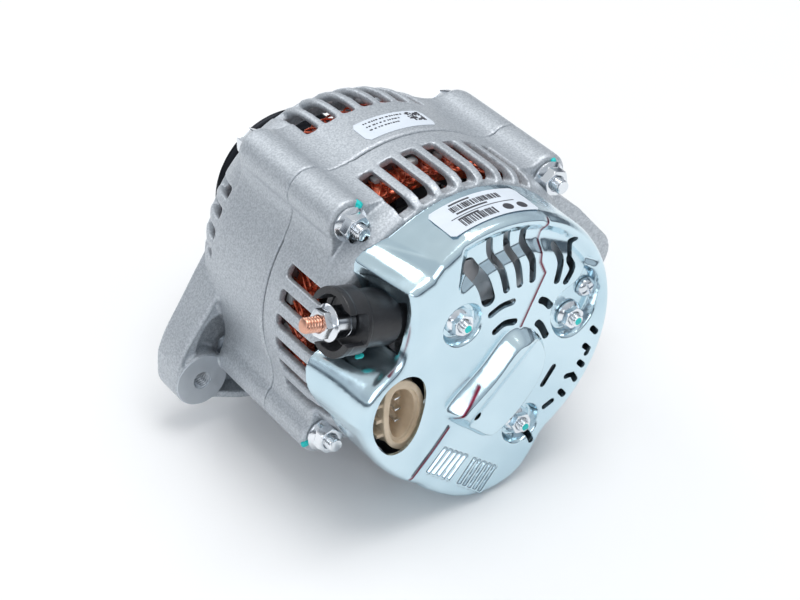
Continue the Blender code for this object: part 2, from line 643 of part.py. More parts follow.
def cover_fasteners():
    seat = COVER_FACE_Y + WELL_DEPTH - GAP
    for index, centre in enumerate(COVER_STUDS, start=1):
        stud = cylinder(centre, 2.5, seat - 6.2, -4.6, 12)
        publish(stud, f"cover_stud_{index}", "bright_zinc", (centre[0], seat, centre[1]))
        nut = flange_nut(centre, seat, 8.0, 2.5 + GAP, 9.0 * index)
        publish(nut, f"cover_nut_{index}", "bright_zinc", (centre[0], seat, centre[1]))
    profile = [(0.0, seat), (4.1, seat), (3.9, seat - 1.2), (2.6, seat - 2.6), (0.0, seat - 2.9)]
    screw = revolve(profile, 16, closed=False)
    join(screw, cylinder((0.0, 0.0), 1.9, seat - 0.5, -18.0, 10))
    depth = (seat - 5.0, seat - 1.6)
    cut(screw, block((-0.5, 0.5), depth, (-2.0, 2.0)), block((-2.0, 2.0), depth, (-0.5, 0.5)))
    publish(moved(screw, COVER_SCREW), "cover_screw", "bright_zinc", (COVER_SCREW[0], seat, COVER_SCREW[1]))


def along_terminal(obj):
    """Carry a solid modelled along +X from the terminal root to its place."""
    turned(obj, TERMINAL_ANGLE)
    obj.data.transform(Matrix.Translation((TERMINAL_ROOT[0], TERMINAL_Y, TERMINAL_ROOT[1])))
    return obj


def axial(profile, segments):
    """Solid of revolution about +X from (radius, x) points."""
    made = revolve(profile, segments, closed=False)
    made.data.transform(Matrix.Rotation(-math.pi / 2.0, 4, "Z"))
    return made


def terminal():
    """Insulated power terminal: shrouded barrel, threaded stud and a flange nut with its collar."""
    pivot = (TERMINAL_ROOT[0], TERMINAL_Y, TERMINAL_ROOT[1])
    profile = [(0.0, -2.0), (10.4, -2.0), (10.4, 17.3), (SHROUD_R, 17.8), (SHROUD_R, 27.6), (0.0, 27.6)]
    body = axial(profile, 28)
    cut(body, axial([(0.0, 19.5), (10.6, 19.5), (10.6, 40.0), (0.0, 40.0)], 28))
    cut(body, block((19.5, 40.0), (-20.0, -2.0), (-8.2, 3.2)))
    side_gap = block((21.5, 40.0), (2.0, 20.0), (-7.9, 7.9))
    side_gap.data.transform(Matrix.Rotation(math.radians(24.5), 4, "X"))
    cut(body, side_gap)
    cut(body, axial([(0.0, -10.0), (3.4, -10.0), (3.4, 30.0), (0.0, 30.0)], 12))
    publish(along_terminal(body), "terminal_insulator", "black_plastic", pivot)
    stud = axial([(0.0, -8.0), (3.0, -8.0), (3.0, 39.0), (2.4, 39.6), (0.0, 39.6)], 14)
    publish(along_terminal(stud), "b_terminal_stud", "copper", pivot)
    nut = flange_nut((0.0, 0.0), 0.0, 10.0, 3.3, 0.0)
    nut.data.transform(Matrix.Rotation(math.pi / 2.0, 4, "Z"))
    nut.data.transform(Matrix.Translation((27.9, 0.0, 0.0)))
    collar = axial([(0.0, 19.9), (6.0, 19.9), (6.0, 28.3), (0.0, 28.3)], 20)
    cut(collar, axial([(0.0, 15.0), (3.3, 15.0), (3.3, 40.0), (0.0, 40.0)], 12))
    join(nut, collar)
    publish(along_terminal(nut), "b_terminal_nut", "bright_zinc", pivot)


def heat_sink(name, y_range, outline):
    plate = prism(outline, *y_range)
    holes = [cylinder(COVER_STUDS[0], 3.1, -40.0, 0.0, 12), cylinder(COVER_STUDS[2], 3.1, -40.0, 0.0, 12)]
    holes.append(cylinder(COVER_SCREW, 2.4, -40.0, 0.0, 10))
    cut(plate, combined(holes))
    publish(plate, name, "cast_aluminium")


def rectifier():
    lower = arc(52.0, -50.0, 122.0, 22) + arc(19.2, 122.0, -50.0, 16)
    upper = arc(50.0, -48.0, 124.0, 22) + [(-30.6, 34.0), (-30.6, 17.0)] + arc(19.2, 138.0, -48.0, 16)
    heat_sink("rectifier_heat_sink_negative", (-12.4, -9.4), lower)
    heat_sink("rectifier_heat_sink_positive", (-27.0, -24.4), upper)
    places = [(polar(39.0, angle), -18.0, -12.7) for angle in (45.0, 75.0, 105.0)]
    places += [(polar(39.0, angle), -30.0, -27.3) for angle in (48.0, 76.0, 104.0)]
    for index, (centre, low, high) in enumerate(places, start=1):
        diode = cylinder(centre, 5.6, low, high, 16)
        publish(diode, f"rectifier_diode_{index}", "machined_steel", (centre[0], high, centre[1]))


def regulator():
    outline = [(-8.0, -14.0), (-8.0, -46.0), (-24.0, -50.0), (-40.0, -39.0)]
    outline += [(-40.0, -33.5), (-26.0, -30.0), (-26.0, -14.0)]
    publish(prism(outline[::-1], -31.0, -14.5), "voltage_regulator", "black_plastic")
    body = [(-46.3, 0.4), (-39.9, 2.6), (-33.8, -1.2), (-29.4, -8.0), (-29.0, -18.0), (-31.5, -24.5)]
    body += [(-37.2, -29.6), (-41.4, -29.2), (-46.6, -24.0), (-48.0, -14.0)]
    connector = prism(body[::-1], -32.0, -14.5)
    cavity = [(-42.6, -3.5), (-38.8, -3.0), (-35.4, -5.5), (-33.3, -11.0), (-33.8, -17.0), (-36.2, -22.6)]
    cavity += [(-39.6, -25.0), (-42.8, -22.5), (-44.0, -14.0)]
    cut(connector, prism(cavity[::-1], -40.0, -21.0))
    publish(connector, "regulator_connector", "tan_plastic")


def coil_spring(name, centre_y, z_low, z_high):
    """Closed coil spring standing along Z, swept as one tube with flat ends."""
    turns, steps, sides = 4.5, 7, 4
    coil_r, wire_r = 1.7, 0.35
    bm = bmesh.new()
    rings = []
    total = int(turns * steps)
    for step in range(total + 1):
        turn = 2.0 * math.pi * step / steps
        z = z_low + wire_r + (z_high - z_low - 2.0 * wire_r) * step / total
        centre = Vector((coil_r * math.cos(turn), centre_y + coil_r * math.sin(turn), z))
        outward = Vector((math.cos(turn), math.sin(turn), 0.0))
        loop = []
        for side in range(sides):
            lean = 2.0 * math.pi * side / sides
            offset = outward * math.cos(lean) + Vector((0.0, 0.0, 1.0)) * math.sin(lean)
            loop.append(bm.verts.new(centre + offset * wire_r))
        rings.append(loop)
    for lower, upper in zip(rings, rings[1:]):
        for side in range(sides):
            after = (side + 1) % sides
            bm.faces.new((lower[side], lower[after], upper[after], upper[side]))
    bm.faces.new(rings[0])
    bm.faces.new(rings[-1])
    publish(to_object(bm), name, "bright_zinc", (0.0, centre_y, z_low))


def brush_gear():
    """Holder below the slip rings with a carbon brush and a spring in each pocket."""
    holder = block((-5.6, 5.6), (-31.6, -16.4), (-33.6, -9.8))
    width, depth, length = BRUSH_SIZE
    top = -SLIP_RING_R - GAP
    for index, y_range in enumerate(SLIP_RING_Y, start=1):
        middle = sum(y_range) / 2.0
        half = depth / 2.0 + GAP
        pocket = block((-width / 2.0 - GAP, width / 2.0 + GAP), (middle - half, middle + half), (-32.0, 0.0))
        cut(holder, pocket)
        across, along = (-width / 2.0, width / 2.0), (middle - depth / 2.0, middle + depth / 2.0)
        brush = block(across, along, (top - length, top))
        publish(brush, f"brush_{index}", "carbon", (0.0, middle, top))
        coil_spring(f"brush_spring_{index}", middle, -31.7, top - length - GAP)
    publish(holder, "brush_holder", "brown_plastic")


def build():
    clear_scene()
    front_housing()
    rear_housing()
    stator_core()
    stator_winding()
    bearing("front", FRONT_BEARING, 8, 24)
    bearing("rear", REAR_BEARING, 7, 24)
    bearing_retainer()
    through_bolts()
    rotor()
    pulley()
    rear_cover()
    cover_fasteners()
    terminal()
    rectifier()
    regulator()
    brush_gear()


build()
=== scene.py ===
"""Looks of the car alternator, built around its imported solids.

Shapes are modelled in millimetres with Y measured from the rear faces of the through
bolt bosses; settle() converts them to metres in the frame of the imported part, whose
origin is the front end of the rotor shaft.
"""
import math
import random

import bmesh
import bpy
import numpy as np
from mathutils import Matrix, Vector, noise


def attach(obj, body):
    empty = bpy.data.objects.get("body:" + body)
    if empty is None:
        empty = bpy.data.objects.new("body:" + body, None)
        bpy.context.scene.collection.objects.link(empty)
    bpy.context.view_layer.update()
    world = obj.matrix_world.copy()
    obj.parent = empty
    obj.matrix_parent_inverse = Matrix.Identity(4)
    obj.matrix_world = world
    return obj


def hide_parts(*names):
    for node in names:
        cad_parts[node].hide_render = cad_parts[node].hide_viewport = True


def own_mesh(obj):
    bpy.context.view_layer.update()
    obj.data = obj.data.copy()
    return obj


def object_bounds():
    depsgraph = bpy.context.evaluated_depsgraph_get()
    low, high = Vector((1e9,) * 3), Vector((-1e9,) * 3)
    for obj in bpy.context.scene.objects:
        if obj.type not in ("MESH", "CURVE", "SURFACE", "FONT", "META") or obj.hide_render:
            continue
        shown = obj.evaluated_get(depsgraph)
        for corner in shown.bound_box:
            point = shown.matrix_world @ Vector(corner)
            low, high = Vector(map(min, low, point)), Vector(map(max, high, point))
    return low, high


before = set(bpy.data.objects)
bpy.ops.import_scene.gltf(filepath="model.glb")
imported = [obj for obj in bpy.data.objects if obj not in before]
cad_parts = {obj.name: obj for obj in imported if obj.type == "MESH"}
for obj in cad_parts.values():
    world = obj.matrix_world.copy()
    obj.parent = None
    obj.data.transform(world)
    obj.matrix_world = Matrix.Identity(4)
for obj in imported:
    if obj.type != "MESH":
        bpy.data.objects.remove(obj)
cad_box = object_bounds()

SHAFT_END_Y = 122.0
FIXED = "stator_and_frame"
ROTOR = "rotor"

BARREL_R = 61.6
BOLT_CIRCLE_R = 66.0
BOLT_ANGLES = (36.2, 126.2, 216.2, 306.2)
BOLT_HOLE_R = 3.4
BOLT_HEAD_ROOM_R = 7.6
CAVITY_R = 58.4
BOSS_FRONT_Y = 66.5
EAR_CENTRE = (-70.2, -46.0)
EAR_R = 11.8
EAR_BORE_R = 4.2
PIVOT_CENTRE = (81.0, -13.5)
PIVOT_BORE_R = 5.2
FACE_Y = -35.5
SHEET = 1.2
COVER_STUDS = ((-14.4, 19.3), (14.7, -41.0), (38.5, 0.1))
COVER_SCREW = (46.4, 9.5)
TERMINAL_ROOT = (-36.5, -20.5, 24.8)
TERMINAL_ANGLE = 163.7
AXIS = (0.0, 0.0)
UP = Vector((0.0, 0.0, 1.0))


# ---- shape helpers


def polar(radius, angle):
    turn = math.radians(angle)
    return radius * math.cos(turn), radius * math.sin(turn)


def spaced(first, count, pitch):
    return [first + pitch * index for index in range(count)]


def arc(radius, first, last, steps, centre=(0.0, 0.0)):
    points = []
    for step in range(steps + 1):
        x, z = polar(radius, first + (last - first) * step / steps)
        points.append((centre[0] + x, centre[1] + z))
    return points


def circle(centre, radius, segments, start=4.0):
    return arc(radius, start, start + 360.0 - 360.0 / segments, segments - 1, centre)


def to_object(bm):
    bmesh.ops.recalc_face_normals(bm, faces=bm.faces)
    mesh = bpy.data.meshes.new("piece")
    bm.to_mesh(mesh)
    bm.free()
    made = bpy.data.objects.new("piece", mesh)
    bpy.context.scene.collection.objects.link(made)
    return made


def skin(rings, wrap=False):
    """Closed surface through rings of equal length, each a list of (x, y, z)."""
    bm = bmesh.new()
    loops = [[bm.verts.new(point) for point in ring] for ring in rings]
    pairs = list(zip(loops, loops[1:]))
    if wrap:
        pairs.append((loops[-1], loops[0]))
    for lower, upper in pairs:
        for step in range(len(lower)):
            after = (step + 1) % len(lower)
            bm.faces.new((lower[step], lower[after], upper[after], upper[step]))
    if not wrap:
        bm.faces.new(loops[0])
        bm.faces.new(loops[-1])
    return to_object(bm)


def turned_rings(profile, segments):
    return [[(x, y, z) for x, z in circle(AXIS, radius, segments, 0.0)] for radius, y in profile]


def revolve(profile, segments):
    """Ring turned about Y from a closed loop of (radius, y) points."""
    return skin(turned_rings(profile, segments), wrap=True)


def lathe(profile, segments):
    """Solid turned about Y from (radius, y) points, with flat ends."""
    return skin(turned_rings(profile, segments))


def loft(layers):
    return skin([[(x, y, z) for x, z in outline] for y, outline in layers])


def prism(outline, y_low, y_high):
    return loft([(y_low, outline), (y_high, outline)])


def cylinder(centre, radius, y_low, y_high, segments=48):
    return prism(circle(centre, radius, segments), y_low, y_high)


def block(x_range, y_range, z_range):
    corners = [(x_range[0], z_range[0]), (x_range[1], z_range[0])]
    corners += [(x_range[1], z_range[1]), (x_range[0], z_range[1])]
    return prism(corners, *y_range)


def inset(outline, distance):
    moved = []
    count = len(outline)
    for index, (x, z) in enumerate(outline):
        before = Vector(outline[index - 1])
        after = Vector(outline[(index + 1) % count])
        here = Vector((x, z))
        inward = Vector((0.0, 0.0))
        for edge in ((here - before).normalized(), (after - here).normalized()):
            inward += Vector((-edge.y, edge.x))
        inward.normalize()
        edge = (after - here).normalized()
        stretch = max(inward.dot(Vector((-edge.y, edge.x))), 0.5)
        moved.append(tuple(here + inward * distance / stretch))
    return moved


def ribbon(path, width, round_steps=0):
    """Outline of a strip of constant width along a path, its ends round if asked."""
    left, right = [], []
    for index, point in enumerate(path):
        before = Vector(path[max(index - 1, 0)])
        after = Vector(path[min(index + 1, len(path) - 1)])
        along = (after - before).normalized()
        side = Vector((-along.y, along.x)) * width / 2.0
        left.append(tuple(Vector(point) + side))
        right.append(tuple(Vector(point) - side))
    outline = left
    if round_steps:
        outline = outline + end_cap(path[-2], path[-1], width, round_steps)
    outline = outline + right[::-1]
    if round_steps:
        outline = outline + end_cap(path[1], path[0], width, round_steps)
    return outline


def end_cap(before, tip, width, steps):
    heading = math.degrees(math.atan2(tip[1] - before[1], tip[0] - before[0]))
    return arc(width / 2.0, heading + 90.0, heading - 90.0, steps, tip)[1:-1]


def smooth_path(points, per_span=6):
    """Catmull-Rom points through the given ones, of any dimension."""
    path = []
    for index in range(len(points) - 1):
        p0 = Vector(points[max(index - 1, 0)])
        p1 = Vector(points[index])
        p2 = Vector(points[index + 1])
        p3 = Vector(points[min(index + 2, len(points) - 1)])
        bend = 2.0 * p0 - 5.0 * p1 + 4.0 * p2 - p3
        twist = 3.0 * p1 - p0 - 3.0 * p2 + p3
        for step in range(per_span):
            t = step / per_span
            path.append(tuple(0.5 * (2.0 * p1 + (p2 - p0) * t + bend * t * t + twist * t ** 3)))
    path.append(tuple(points[-1]))
    return path


def closed_path(points, per_span=4):
    wrapped = [points[-1]] + list(points) + [points[0], points[1]]
    return smooth_path(wrapped, per_span)[per_span:-1 - per_span]


def turned(obj, angle):
    obj.data.transform(Matrix.Rotation(-math.radians(angle), 4, "Y"))
    return obj


def moved(obj, x=0.0, y=0.0, z=0.0):
    obj.data.transform(Matrix.Translation((x, y, z)))
    return obj


def combined(pieces):
    bm = bmesh.new()
    for piece in pieces:
        bm.from_mesh(piece.data)
        bpy.data.objects.remove(piece, do_unlink=True)
    return to_object(bm)


def baked(obj):
    """Apply the modifiers that the object carries."""
    graph = bpy.context.evaluated_depsgraph_get()
    result = bpy.data.meshes.new_from_object(obj.evaluated_get(graph))
    obj.modifiers.clear()
    obj.data = result
    return obj


def boolean(target, tools, operation):
    for tool in tools:
        step = target.modifiers.new("step", "BOOLEAN")
        step.operation = operation
        step.solver = "EXACT"
        step.object = tool
        baked(target)
        bpy.data.objects.remove(tool, do_unlink=True)
    return target


def join(target, *tools):
    return boolean(target, tools, "UNION")


def cut(target, *tools):
    return boolean(target, tools, "DIFFERENCE")


def moulded(obj, voxel, rounds, factor=0.5):
    """Remesh a solid finely and relax it, which rounds its edges like a casting's."""
    remesh = obj.modifiers.new("remesh", "REMESH")
    remesh.mode = "VOXEL"
    remesh.voxel_size = voxel * 1.0
    relax = obj.modifiers.new("relax", "SMOOTH")
    relax.factor = factor
    relax.iterations = rounds
    return baked(obj)


def bevelled(obj, width, segments=2, angle=35.0):
    bm = bmesh.new()
    bm.from_mesh(obj.data)
    bmesh.ops.remove_doubles(bm, verts=bm.verts, dist=1e-3)
    limit = math.radians(angle)
    sharp = [e for e in bm.edges if len(e.link_faces) == 2 and e.calc_face_angle(0.0) > limit]
    bmesh.ops.bevel(bm, geom=sharp, offset=width, segments=segments, profile=0.5, affect="EDGES",
                    clamp_overlap=True)
    bm.to_mesh(obj.data)
    bm.free()
    return obj


def tube(path, radius, sides=8):
    """Round wire along a path of 3-D points."""
    rings = []
    up = UP
    for index, point in enumerate(path):
        before = Vector(path[max(index - 1, 0)])
        after = Vector(path[min(index + 1, len(path) - 1)])
        along = (after - before).normalized()
        side = along.cross(up)
        if side.length < 1e-3:
            side = along.cross(Vector((1.0, 0.0, 0.0)))
        side.normalize()
        up = side.cross(along).normalized()
        ring = []
        for step in range(sides):
            turn = 2.0 * math.pi * step / sides
            ring.append(tuple(Vector(point) + (side * math.cos(turn) + up * math.sin(turn)) * radius))
        rings.append(ring)
    return skin(rings)


def settle(obj, name, body, look, replaced=(), sharp=40.0):
    """Bring a finished piece into the part's frame, give it its look and its body."""
    obj.data.transform(Matrix.Translation((0.0, -SHAFT_END_Y, 0.0)))
    obj.data.transform(Matrix.Scale(0.001, 4))
    obj.name = name
    obj.data.name = name
    obj.data.shade_smooth()
    obj.data.set_sharp_from_angle(angle=math.radians(sharp))
    obj.data.materials.clear()
    for one in look if isinstance(look, (list, tuple)) else (look,):
        obj.data.materials.append(one)
    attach(obj, body)
    if replaced:
        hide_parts(*replaced)
    return obj


# ---- materials


def fill_ramp(ramp, stops):
    while len(ramp.elements) < len(stops):
        ramp.elements.new(0.5)
    for element, (position, colour) in zip(ramp.elements, stops):
        element.position = position
        element.color = (*colour, 1.0)


class Look:
    """Node material whose colour, roughness and bump come from noise in object space."""

    def __init__(self, name, colour, metallic=0.0, roughness=0.5):
        self.made = bpy.data.materials.new(name)
        self.made.use_nodes = True
        self.nodes = self.made.node_tree.nodes
        self.links = self.made.node_tree.links
        self.shader = self.nodes["Principled BSDF"]
        self.shader.inputs["Base Color"].default_value = (*colour, 1.0)
        self.shader.inputs["Metallic"].default_value = metallic
        self.shader.inputs["Roughness"].default_value = roughness
        self.made.diffuse_color = (*colour, 1.0)
        self.place = self.nodes.new("ShaderNodeTexCoord").outputs["Object"]
        self.normal = None

    def noise(self, scale, detail=3.0, stretch=None, distortion=0.0):
        node = self.nodes.new("ShaderNodeTexNoise")
        node.inputs["Scale"].default_value = scale
        node.inputs["Detail"].default_value = detail
        node.inputs["Distortion"].default_value = distortion
        source = self.place
        if stretch:
            mapping = self.nodes.new("ShaderNodeMapping")
            mapping.inputs["Scale"].default_value = stretch
            self.links.new(source, mapping.inputs["Vector"])
            source = mapping.outputs["Vector"]
        self.links.new(source, node.inputs["Vector"])
        return node.outputs["Fac"]

    def ramp(self, source, stops):
        node = self.nodes.new("ShaderNodeValToRGB")
        fill_ramp(node.color_ramp, stops)
        self.links.new(source, node.inputs["Fac"])
        return node.outputs["Color"]

    def span(self, source, low, high, bottom=0.3, top=0.7):
        node = self.nodes.new("ShaderNodeMapRange")
        node.inputs["From Min"].default_value = bottom
        node.inputs["From Max"].default_value = top
        node.inputs["To Min"].default_value = low
        node.inputs["To Max"].default_value = high
        self.links.new(source, node.inputs["Value"])
        return node.outputs["Result"]

    def colour(self, source, stops):
        self.links.new(self.ramp(source, stops), self.shader.inputs["Base Color"])
        return self

    def rough(self, source, low, high, bottom=0.3, top=0.7):
        self.links.new(self.span(source, low, high, bottom, top), self.shader.inputs["Roughness"])
        return self

    def bump(self, source, strength, distance):
        node = self.nodes.new("ShaderNodeBump")
        node.inputs["Strength"].default_value = strength
        node.inputs["Distance"].default_value = distance
        self.links.new(source, node.inputs["Height"])
        if self.normal:
            self.links.new(self.normal, node.inputs["Normal"])
        self.normal = node.outputs["Normal"]
        self.links.new(self.normal, self.shader.inputs["Normal"])
        return self


def cast_look(name, dark, light, rough):
    look = Look(name, light, 0.6, rough)
    look.colour(look.noise(1250.0, 3.0), ((0.36, dark), (0.64, light)))
    look.rough(look.noise(900.0, 2.0), rough - 0.10, rough + 0.10)
    look.bump(look.noise(1700.0, 3.0), 0.42, 0.0004)
    look.bump(look.noise(160.0, 2.0), 0.10, 0.0007)
    return look.made


def plated_look(name, dark, light, rough, grain=0.10):
    look = Look(name, light, 1.0, rough)
    look.colour(look.noise(24.0, 3.0), ((0.3, dark), (0.55, light), (0.8, light)))
    look.rough(look.noise(210.0, 4.0), rough * 0.75, rough * 1.35)
    look.bump(look.noise(420.0, 3.0), grain, 0.0002)
    return look.made


def zinc_look():
    """Zinc plating with a painted dark red reflection mixed in where the sheet's "crease" attribute is set.
    """
    look = Look("zinc_plated_sheet", (0.62, 0.76, 0.83), 1.0, 0.17)
    plain = look.ramp(look.noise(24.0, 3.0), ((0.3, (0.52, 0.68, 0.76)), (0.6, (0.64, 0.79, 0.86))))
    crease = look.nodes.new("ShaderNodeAttribute")
    crease.attribute_name = "crease"
    mix = look.nodes.new("ShaderNodeMix")
    mix.data_type = "RGBA"
    look.links.new(crease.outputs["Fac"], mix.inputs[0])
    look.links.new(plain, mix.inputs[6])
    # painted reflection: dark red colour standing in for a red surrounding mirrored in the steep faces of the
    # creases
    mix.inputs[7].default_value = (0.16, 0.012, 0.035, 1.0)
    look.links.new(mix.outputs[2], look.shader.inputs["Base Color"])
    look.rough(look.noise(210.0, 4.0), 0.13, 0.23)
    look.bump(look.noise(420.0, 3.0), 0.10, 0.0002)
    return look.made


def plastic_look(name, dark, light, rough, grain=0.25):
    look = Look(name, light, 0.0, rough)
    look.colour(look.noise(140.0, 3.0), ((0.3, dark), (0.7, light)))
    look.rough(look.noise(500.0, 3.0), rough - 0.06, rough + 0.08)
    look.bump(look.noise(1500.0, 2.0), grain, 0.0002)
    return look.made


def wire_look():
    look = Look("enamelled_wire", (0.42, 0.08, 0.045), 0.75, 0.25)
    stops = ((0.3, (0.30, 0.04, 0.02)), (0.6, (0.72, 0.14, 0.06)), (0.8, (0.90, 0.32, 0.18)))
    look.colour(look.noise(260.0, 2.0), stops)
    look.rough(look.noise(300.0), 0.18, 0.36)
    look.bump(look.noise(900.0), 0.2, 0.0002)
    look.shader.inputs["Coat Weight"].default_value = 0.5
    look.shader.inputs["Coat Roughness"].default_value = 0.12
    return look.made


def turned_look(name, dark, light, rough):
    """Lathe-turned steel: fine rings along the shaft axis."""
    look = Look(name, light, 1.0, rough)
    look.colour(look.noise(60.0), ((0.3, dark), (0.7, light)))
    look.rough(look.noise(90.0, 3.0, (1.0, 40.0, 1.0)), rough - 0.05, rough + 0.1)
    look.bump(look.noise(60.0, 2.0, (1.0, 60.0, 1.0)), 0.15, 0.0001)
    return look.made


def laminated_look():
    look = Look("laminations", (0.2, 0.2, 0.2), 0.8, 0.5)
    look.colour(look.noise(50.0), ((0.3, (0.10, 0.10, 0.11)), (0.7, (0.24, 0.24, 0.25))))
    wave = look.nodes.new("ShaderNodeTexWave")
    wave.bands_direction = "Y"
    wave.inputs["Scale"].default_value = 320.0
    look.links.new(look.place, wave.inputs["Vector"])
    look.bump(wave.outputs["Fac"], 0.4, 0.0003)
    look.rough(look.noise(300.0), 0.42, 0.6)
    return look.made


CAST = cast_look("cast_aluminium_blasted", (0.43, 0.465, 0.50), (0.60, 0.635, 0.67), 0.46)
CAST_CUT = plated_look("cast_aluminium_machined", (0.56, 0.60, 0.64), (0.66, 0.70, 0.74), 0.42)
ZINC = zinc_look()
BRIGHT = plated_look("bright_zinc_hardware", (0.66, 0.70, 0.74), (0.84, 0.87, 0.90), 0.17)
STEEL = turned_look("ground_steel", (0.42, 0.42, 0.43), (0.6, 0.6, 0.61), 0.24)
DARK_STEEL = turned_look("punched_steel", (0.20, 0.20, 0.21), (0.34, 0.34, 0.35), 0.4)
PULLEY_BLACK = turned_look("black_pulley_finish", (0.012, 0.013, 0.016), (0.03, 0.032, 0.038), 0.36)
LAMINATED = laminated_look()
WIRE = wire_look()
COPPER = plated_look("copper_plate", (0.62, 0.30, 0.20), (0.86, 0.50, 0.38), 0.26)
BLACK = plastic_look("black_moulding", (0.010, 0.011, 0.013), (0.022, 0.023, 0.027), 0.36)
TAN = plastic_look("tan_moulding", (0.62, 0.49, 0.34), (0.76, 0.62, 0.46), 0.42)
BROWN = plastic_look("brown_moulding", (0.09, 0.05, 0.03), (0.16, 0.09, 0.05), 0.5)
CARBON = plastic_look("pressed_carbon", (0.03, 0.03, 0.03), (0.07, 0.07, 0.07), 0.55, 0.5)
PAPER = plastic_look("label_paper", (0.66, 0.72, 0.79), (0.72, 0.78, 0.85), 0.5, 0.05)
INK = plastic_look("label_ink", (0.03, 0.03, 0.04), (0.06, 0.06, 0.07), 0.6, 0.05)
LINER = plastic_look("slot_liner", (0.30, 0.31, 0.32), (0.46, 0.47, 0.48), 0.4)
PAINT = plastic_look("teal_check_paint", (0.0, 0.48, 0.47), (0.01, 0.66, 0.63), 0.35, 0.5)


# ---- camera, floor, light


def camera():
    """Long lens towards the middle of the rear face, seen from above on the terminal's side."""
    azimuth, elevation = math.radians(-35.1), math.radians(36.3)
    distance, aside, raised = 800.0, 14.749, 2.857
    flat = math.cos(elevation)
    back = Vector((math.sin(azimuth) * flat, -math.cos(azimuth) * flat, math.sin(elevation)))
    right = (-back).cross(UP).normalized()
    up = right.cross(-back)
    place = back * distance - right * aside + up * raised
    data = bpy.data.cameras.new("camera")
    data.sensor_width = 36.0
    data.lens = 93.24
    data.clip_start = 0.05
    made = bpy.data.objects.new("camera", data)
    bpy.context.scene.collection.objects.link(made)
    made.location = (place - Vector((0.0, SHAFT_END_Y, 0.0))) * 0.001
    made.rotation_euler = back.to_track_quat("Z", "Y").to_euler()
    bpy.context.scene.camera = made


def floor():
    low, high = cad_box
    bm = bmesh.new()
    bmesh.ops.create_grid(bm, x_segments=2, y_segments=2, size=3.0)
    made = to_object(bm)
    made.name = "floor"
    made.location = ((low.x + high.x) / 2.0, (low.y + high.y) / 2.0, low.z - 0.0004)
    look = Look("pale_floor", (0.9, 0.9, 0.9), 0.0, 0.8)
    look.colour(look.noise(3.0), ((0.3, (0.90, 0.90, 0.90)), (0.7, (0.93, 0.93, 0.93))))
    made.data.materials.append(look.made)


def area_light(name, place, size, power, colour=(1.0, 1.0, 1.0)):
    data = bpy.data.lights.new(name, "AREA")
    data.energy = power
    data.color = colour
    data.size = size
    made = bpy.data.objects.new(name, data)
    bpy.context.scene.collection.objects.link(made)
    made.location = place
    aim = Vector((0.0, -0.08, 0.0)) - Vector(place)
    made.rotation_euler = aim.to_track_quat("-Z", "Y").to_euler()


def studio():
    """World that is dark just above the horizon, for contrast in the plating, and pale above."""
    world = bpy.data.worlds.new("studio")
    bpy.context.scene.world = world
    world.use_nodes = True
    nodes, links = world.node_tree.nodes, world.node_tree.links
    background = nodes["Background"]
    coordinate = nodes.new("ShaderNodeTexCoord")
    split = nodes.new("ShaderNodeSeparateXYZ")
    ramp = nodes.new("ShaderNodeValToRGB")
    shift = nodes.new("ShaderNodeMapRange")
    shift.inputs["From Min"].default_value = -1.0
    links.new(coordinate.outputs["Generated"], split.inputs["Vector"])
    links.new(split.outputs["Z"], shift.inputs["Value"])
    links.new(shift.outputs["Result"], ramp.inputs["Fac"])
    stops = ((0.0, (0.75, 0.78, 0.82)), (0.50, (0.60, 0.64, 0.70)), (0.515, (0.06, 0.07, 0.09)),
             (0.575, (0.10, 0.12, 0.15)), (0.66, (0.78, 0.83, 0.89)), (0.74, (0.56, 0.60, 0.66)),
             (0.82, (0.78, 0.82, 0.86)), (1.0, (1.0, 1.0, 1.0)))
    fill_ramp(ramp.color_ramp, stops)
    links.new(ramp.outputs["Color"], background.inputs["Color"])
    background.inputs["Strength"].default_value = 0.8
    bpy.context.scene.view_settings.view_transform = "Standard"


def lights():
    area_light("key", (0.15, -0.25, 1.3), 0.8, 8.5)
    area_light("fill", (-0.9, -0.9, 0.7), 0.6, 2.5, (0.93, 0.96, 1.0))
    area_light("rim", (-0.1, 1.1, 0.7), 0.7, 3.0)


# ---- cast housings


def boss_outline(radius, inner):
    """Bolt boss with hollow flanks that run out into the barrel."""
    flank = [(67.2, 7.6), (65.0, 9.3), (63.4, 11.6), (62.3, 14.6), (61.4, 19.0)]
    crown = arc(radius, -78.0, 78.0, 14, (BOLT_CIRCLE_R, 0.0))
    left = [polar(r, a) for r, a in flank]
    right = [polar(r, -a) for r, a in reversed(flank)]
    return right + crown + left + arc(inner, 19.0, -19.0, 8)


def bolt_bosses(layers):
    """One boss per through bolt, lofted through (y, crown radius, inner radius) layers."""
    bosses = []
    for angle in BOLT_ANGLES:
        outlines = [(y, boss_outline(radius, inner)) for y, radius, inner in layers]
        bosses.append(turned(loft(outlines), angle))
    return combined(bosses)


def bolt_tools(radius, y_low, y_high):
    return combined([cylinder(polar(BOLT_CIRCLE_R, a), radius, y_low, y_high, 40) for a in BOLT_ANGLES])


def radial_slots(angles, width, side_view):
    """Wedges cut along radii; side_view is the slot's outline as (radius, y) points."""
    slots = []
    for angle in angles:
        rings = [[(r, y, z) for r, y in side_view] for z in (-width / 2.0, width / 2.0)]
        slots.append(turned(skin(rings), angle))
    return combined(slots)


def ring_sectors(sectors, r_low, r_high, y_low, y_high):
    """Parts of a ring, between the two angles of each sector."""
    outlines = [arc(r_high, a, b, 10) + arc(r_low, b, a, 10) for a, b in sectors]
    return combined([prism(outline, y_low, y_high) for outline in outlines])


def rear_end(piece, height):
    """Set the rear end of an upright piece to height(point), for slopes along the ear."""
    for vertex in piece.data.vertices:
        if vertex.co.y < 70.0:
            vertex.co.y = height(vertex.co)
    return piece


def portion(value, first, last):
    return min(max((value - first) / (last - first), 0.0), 1.0)


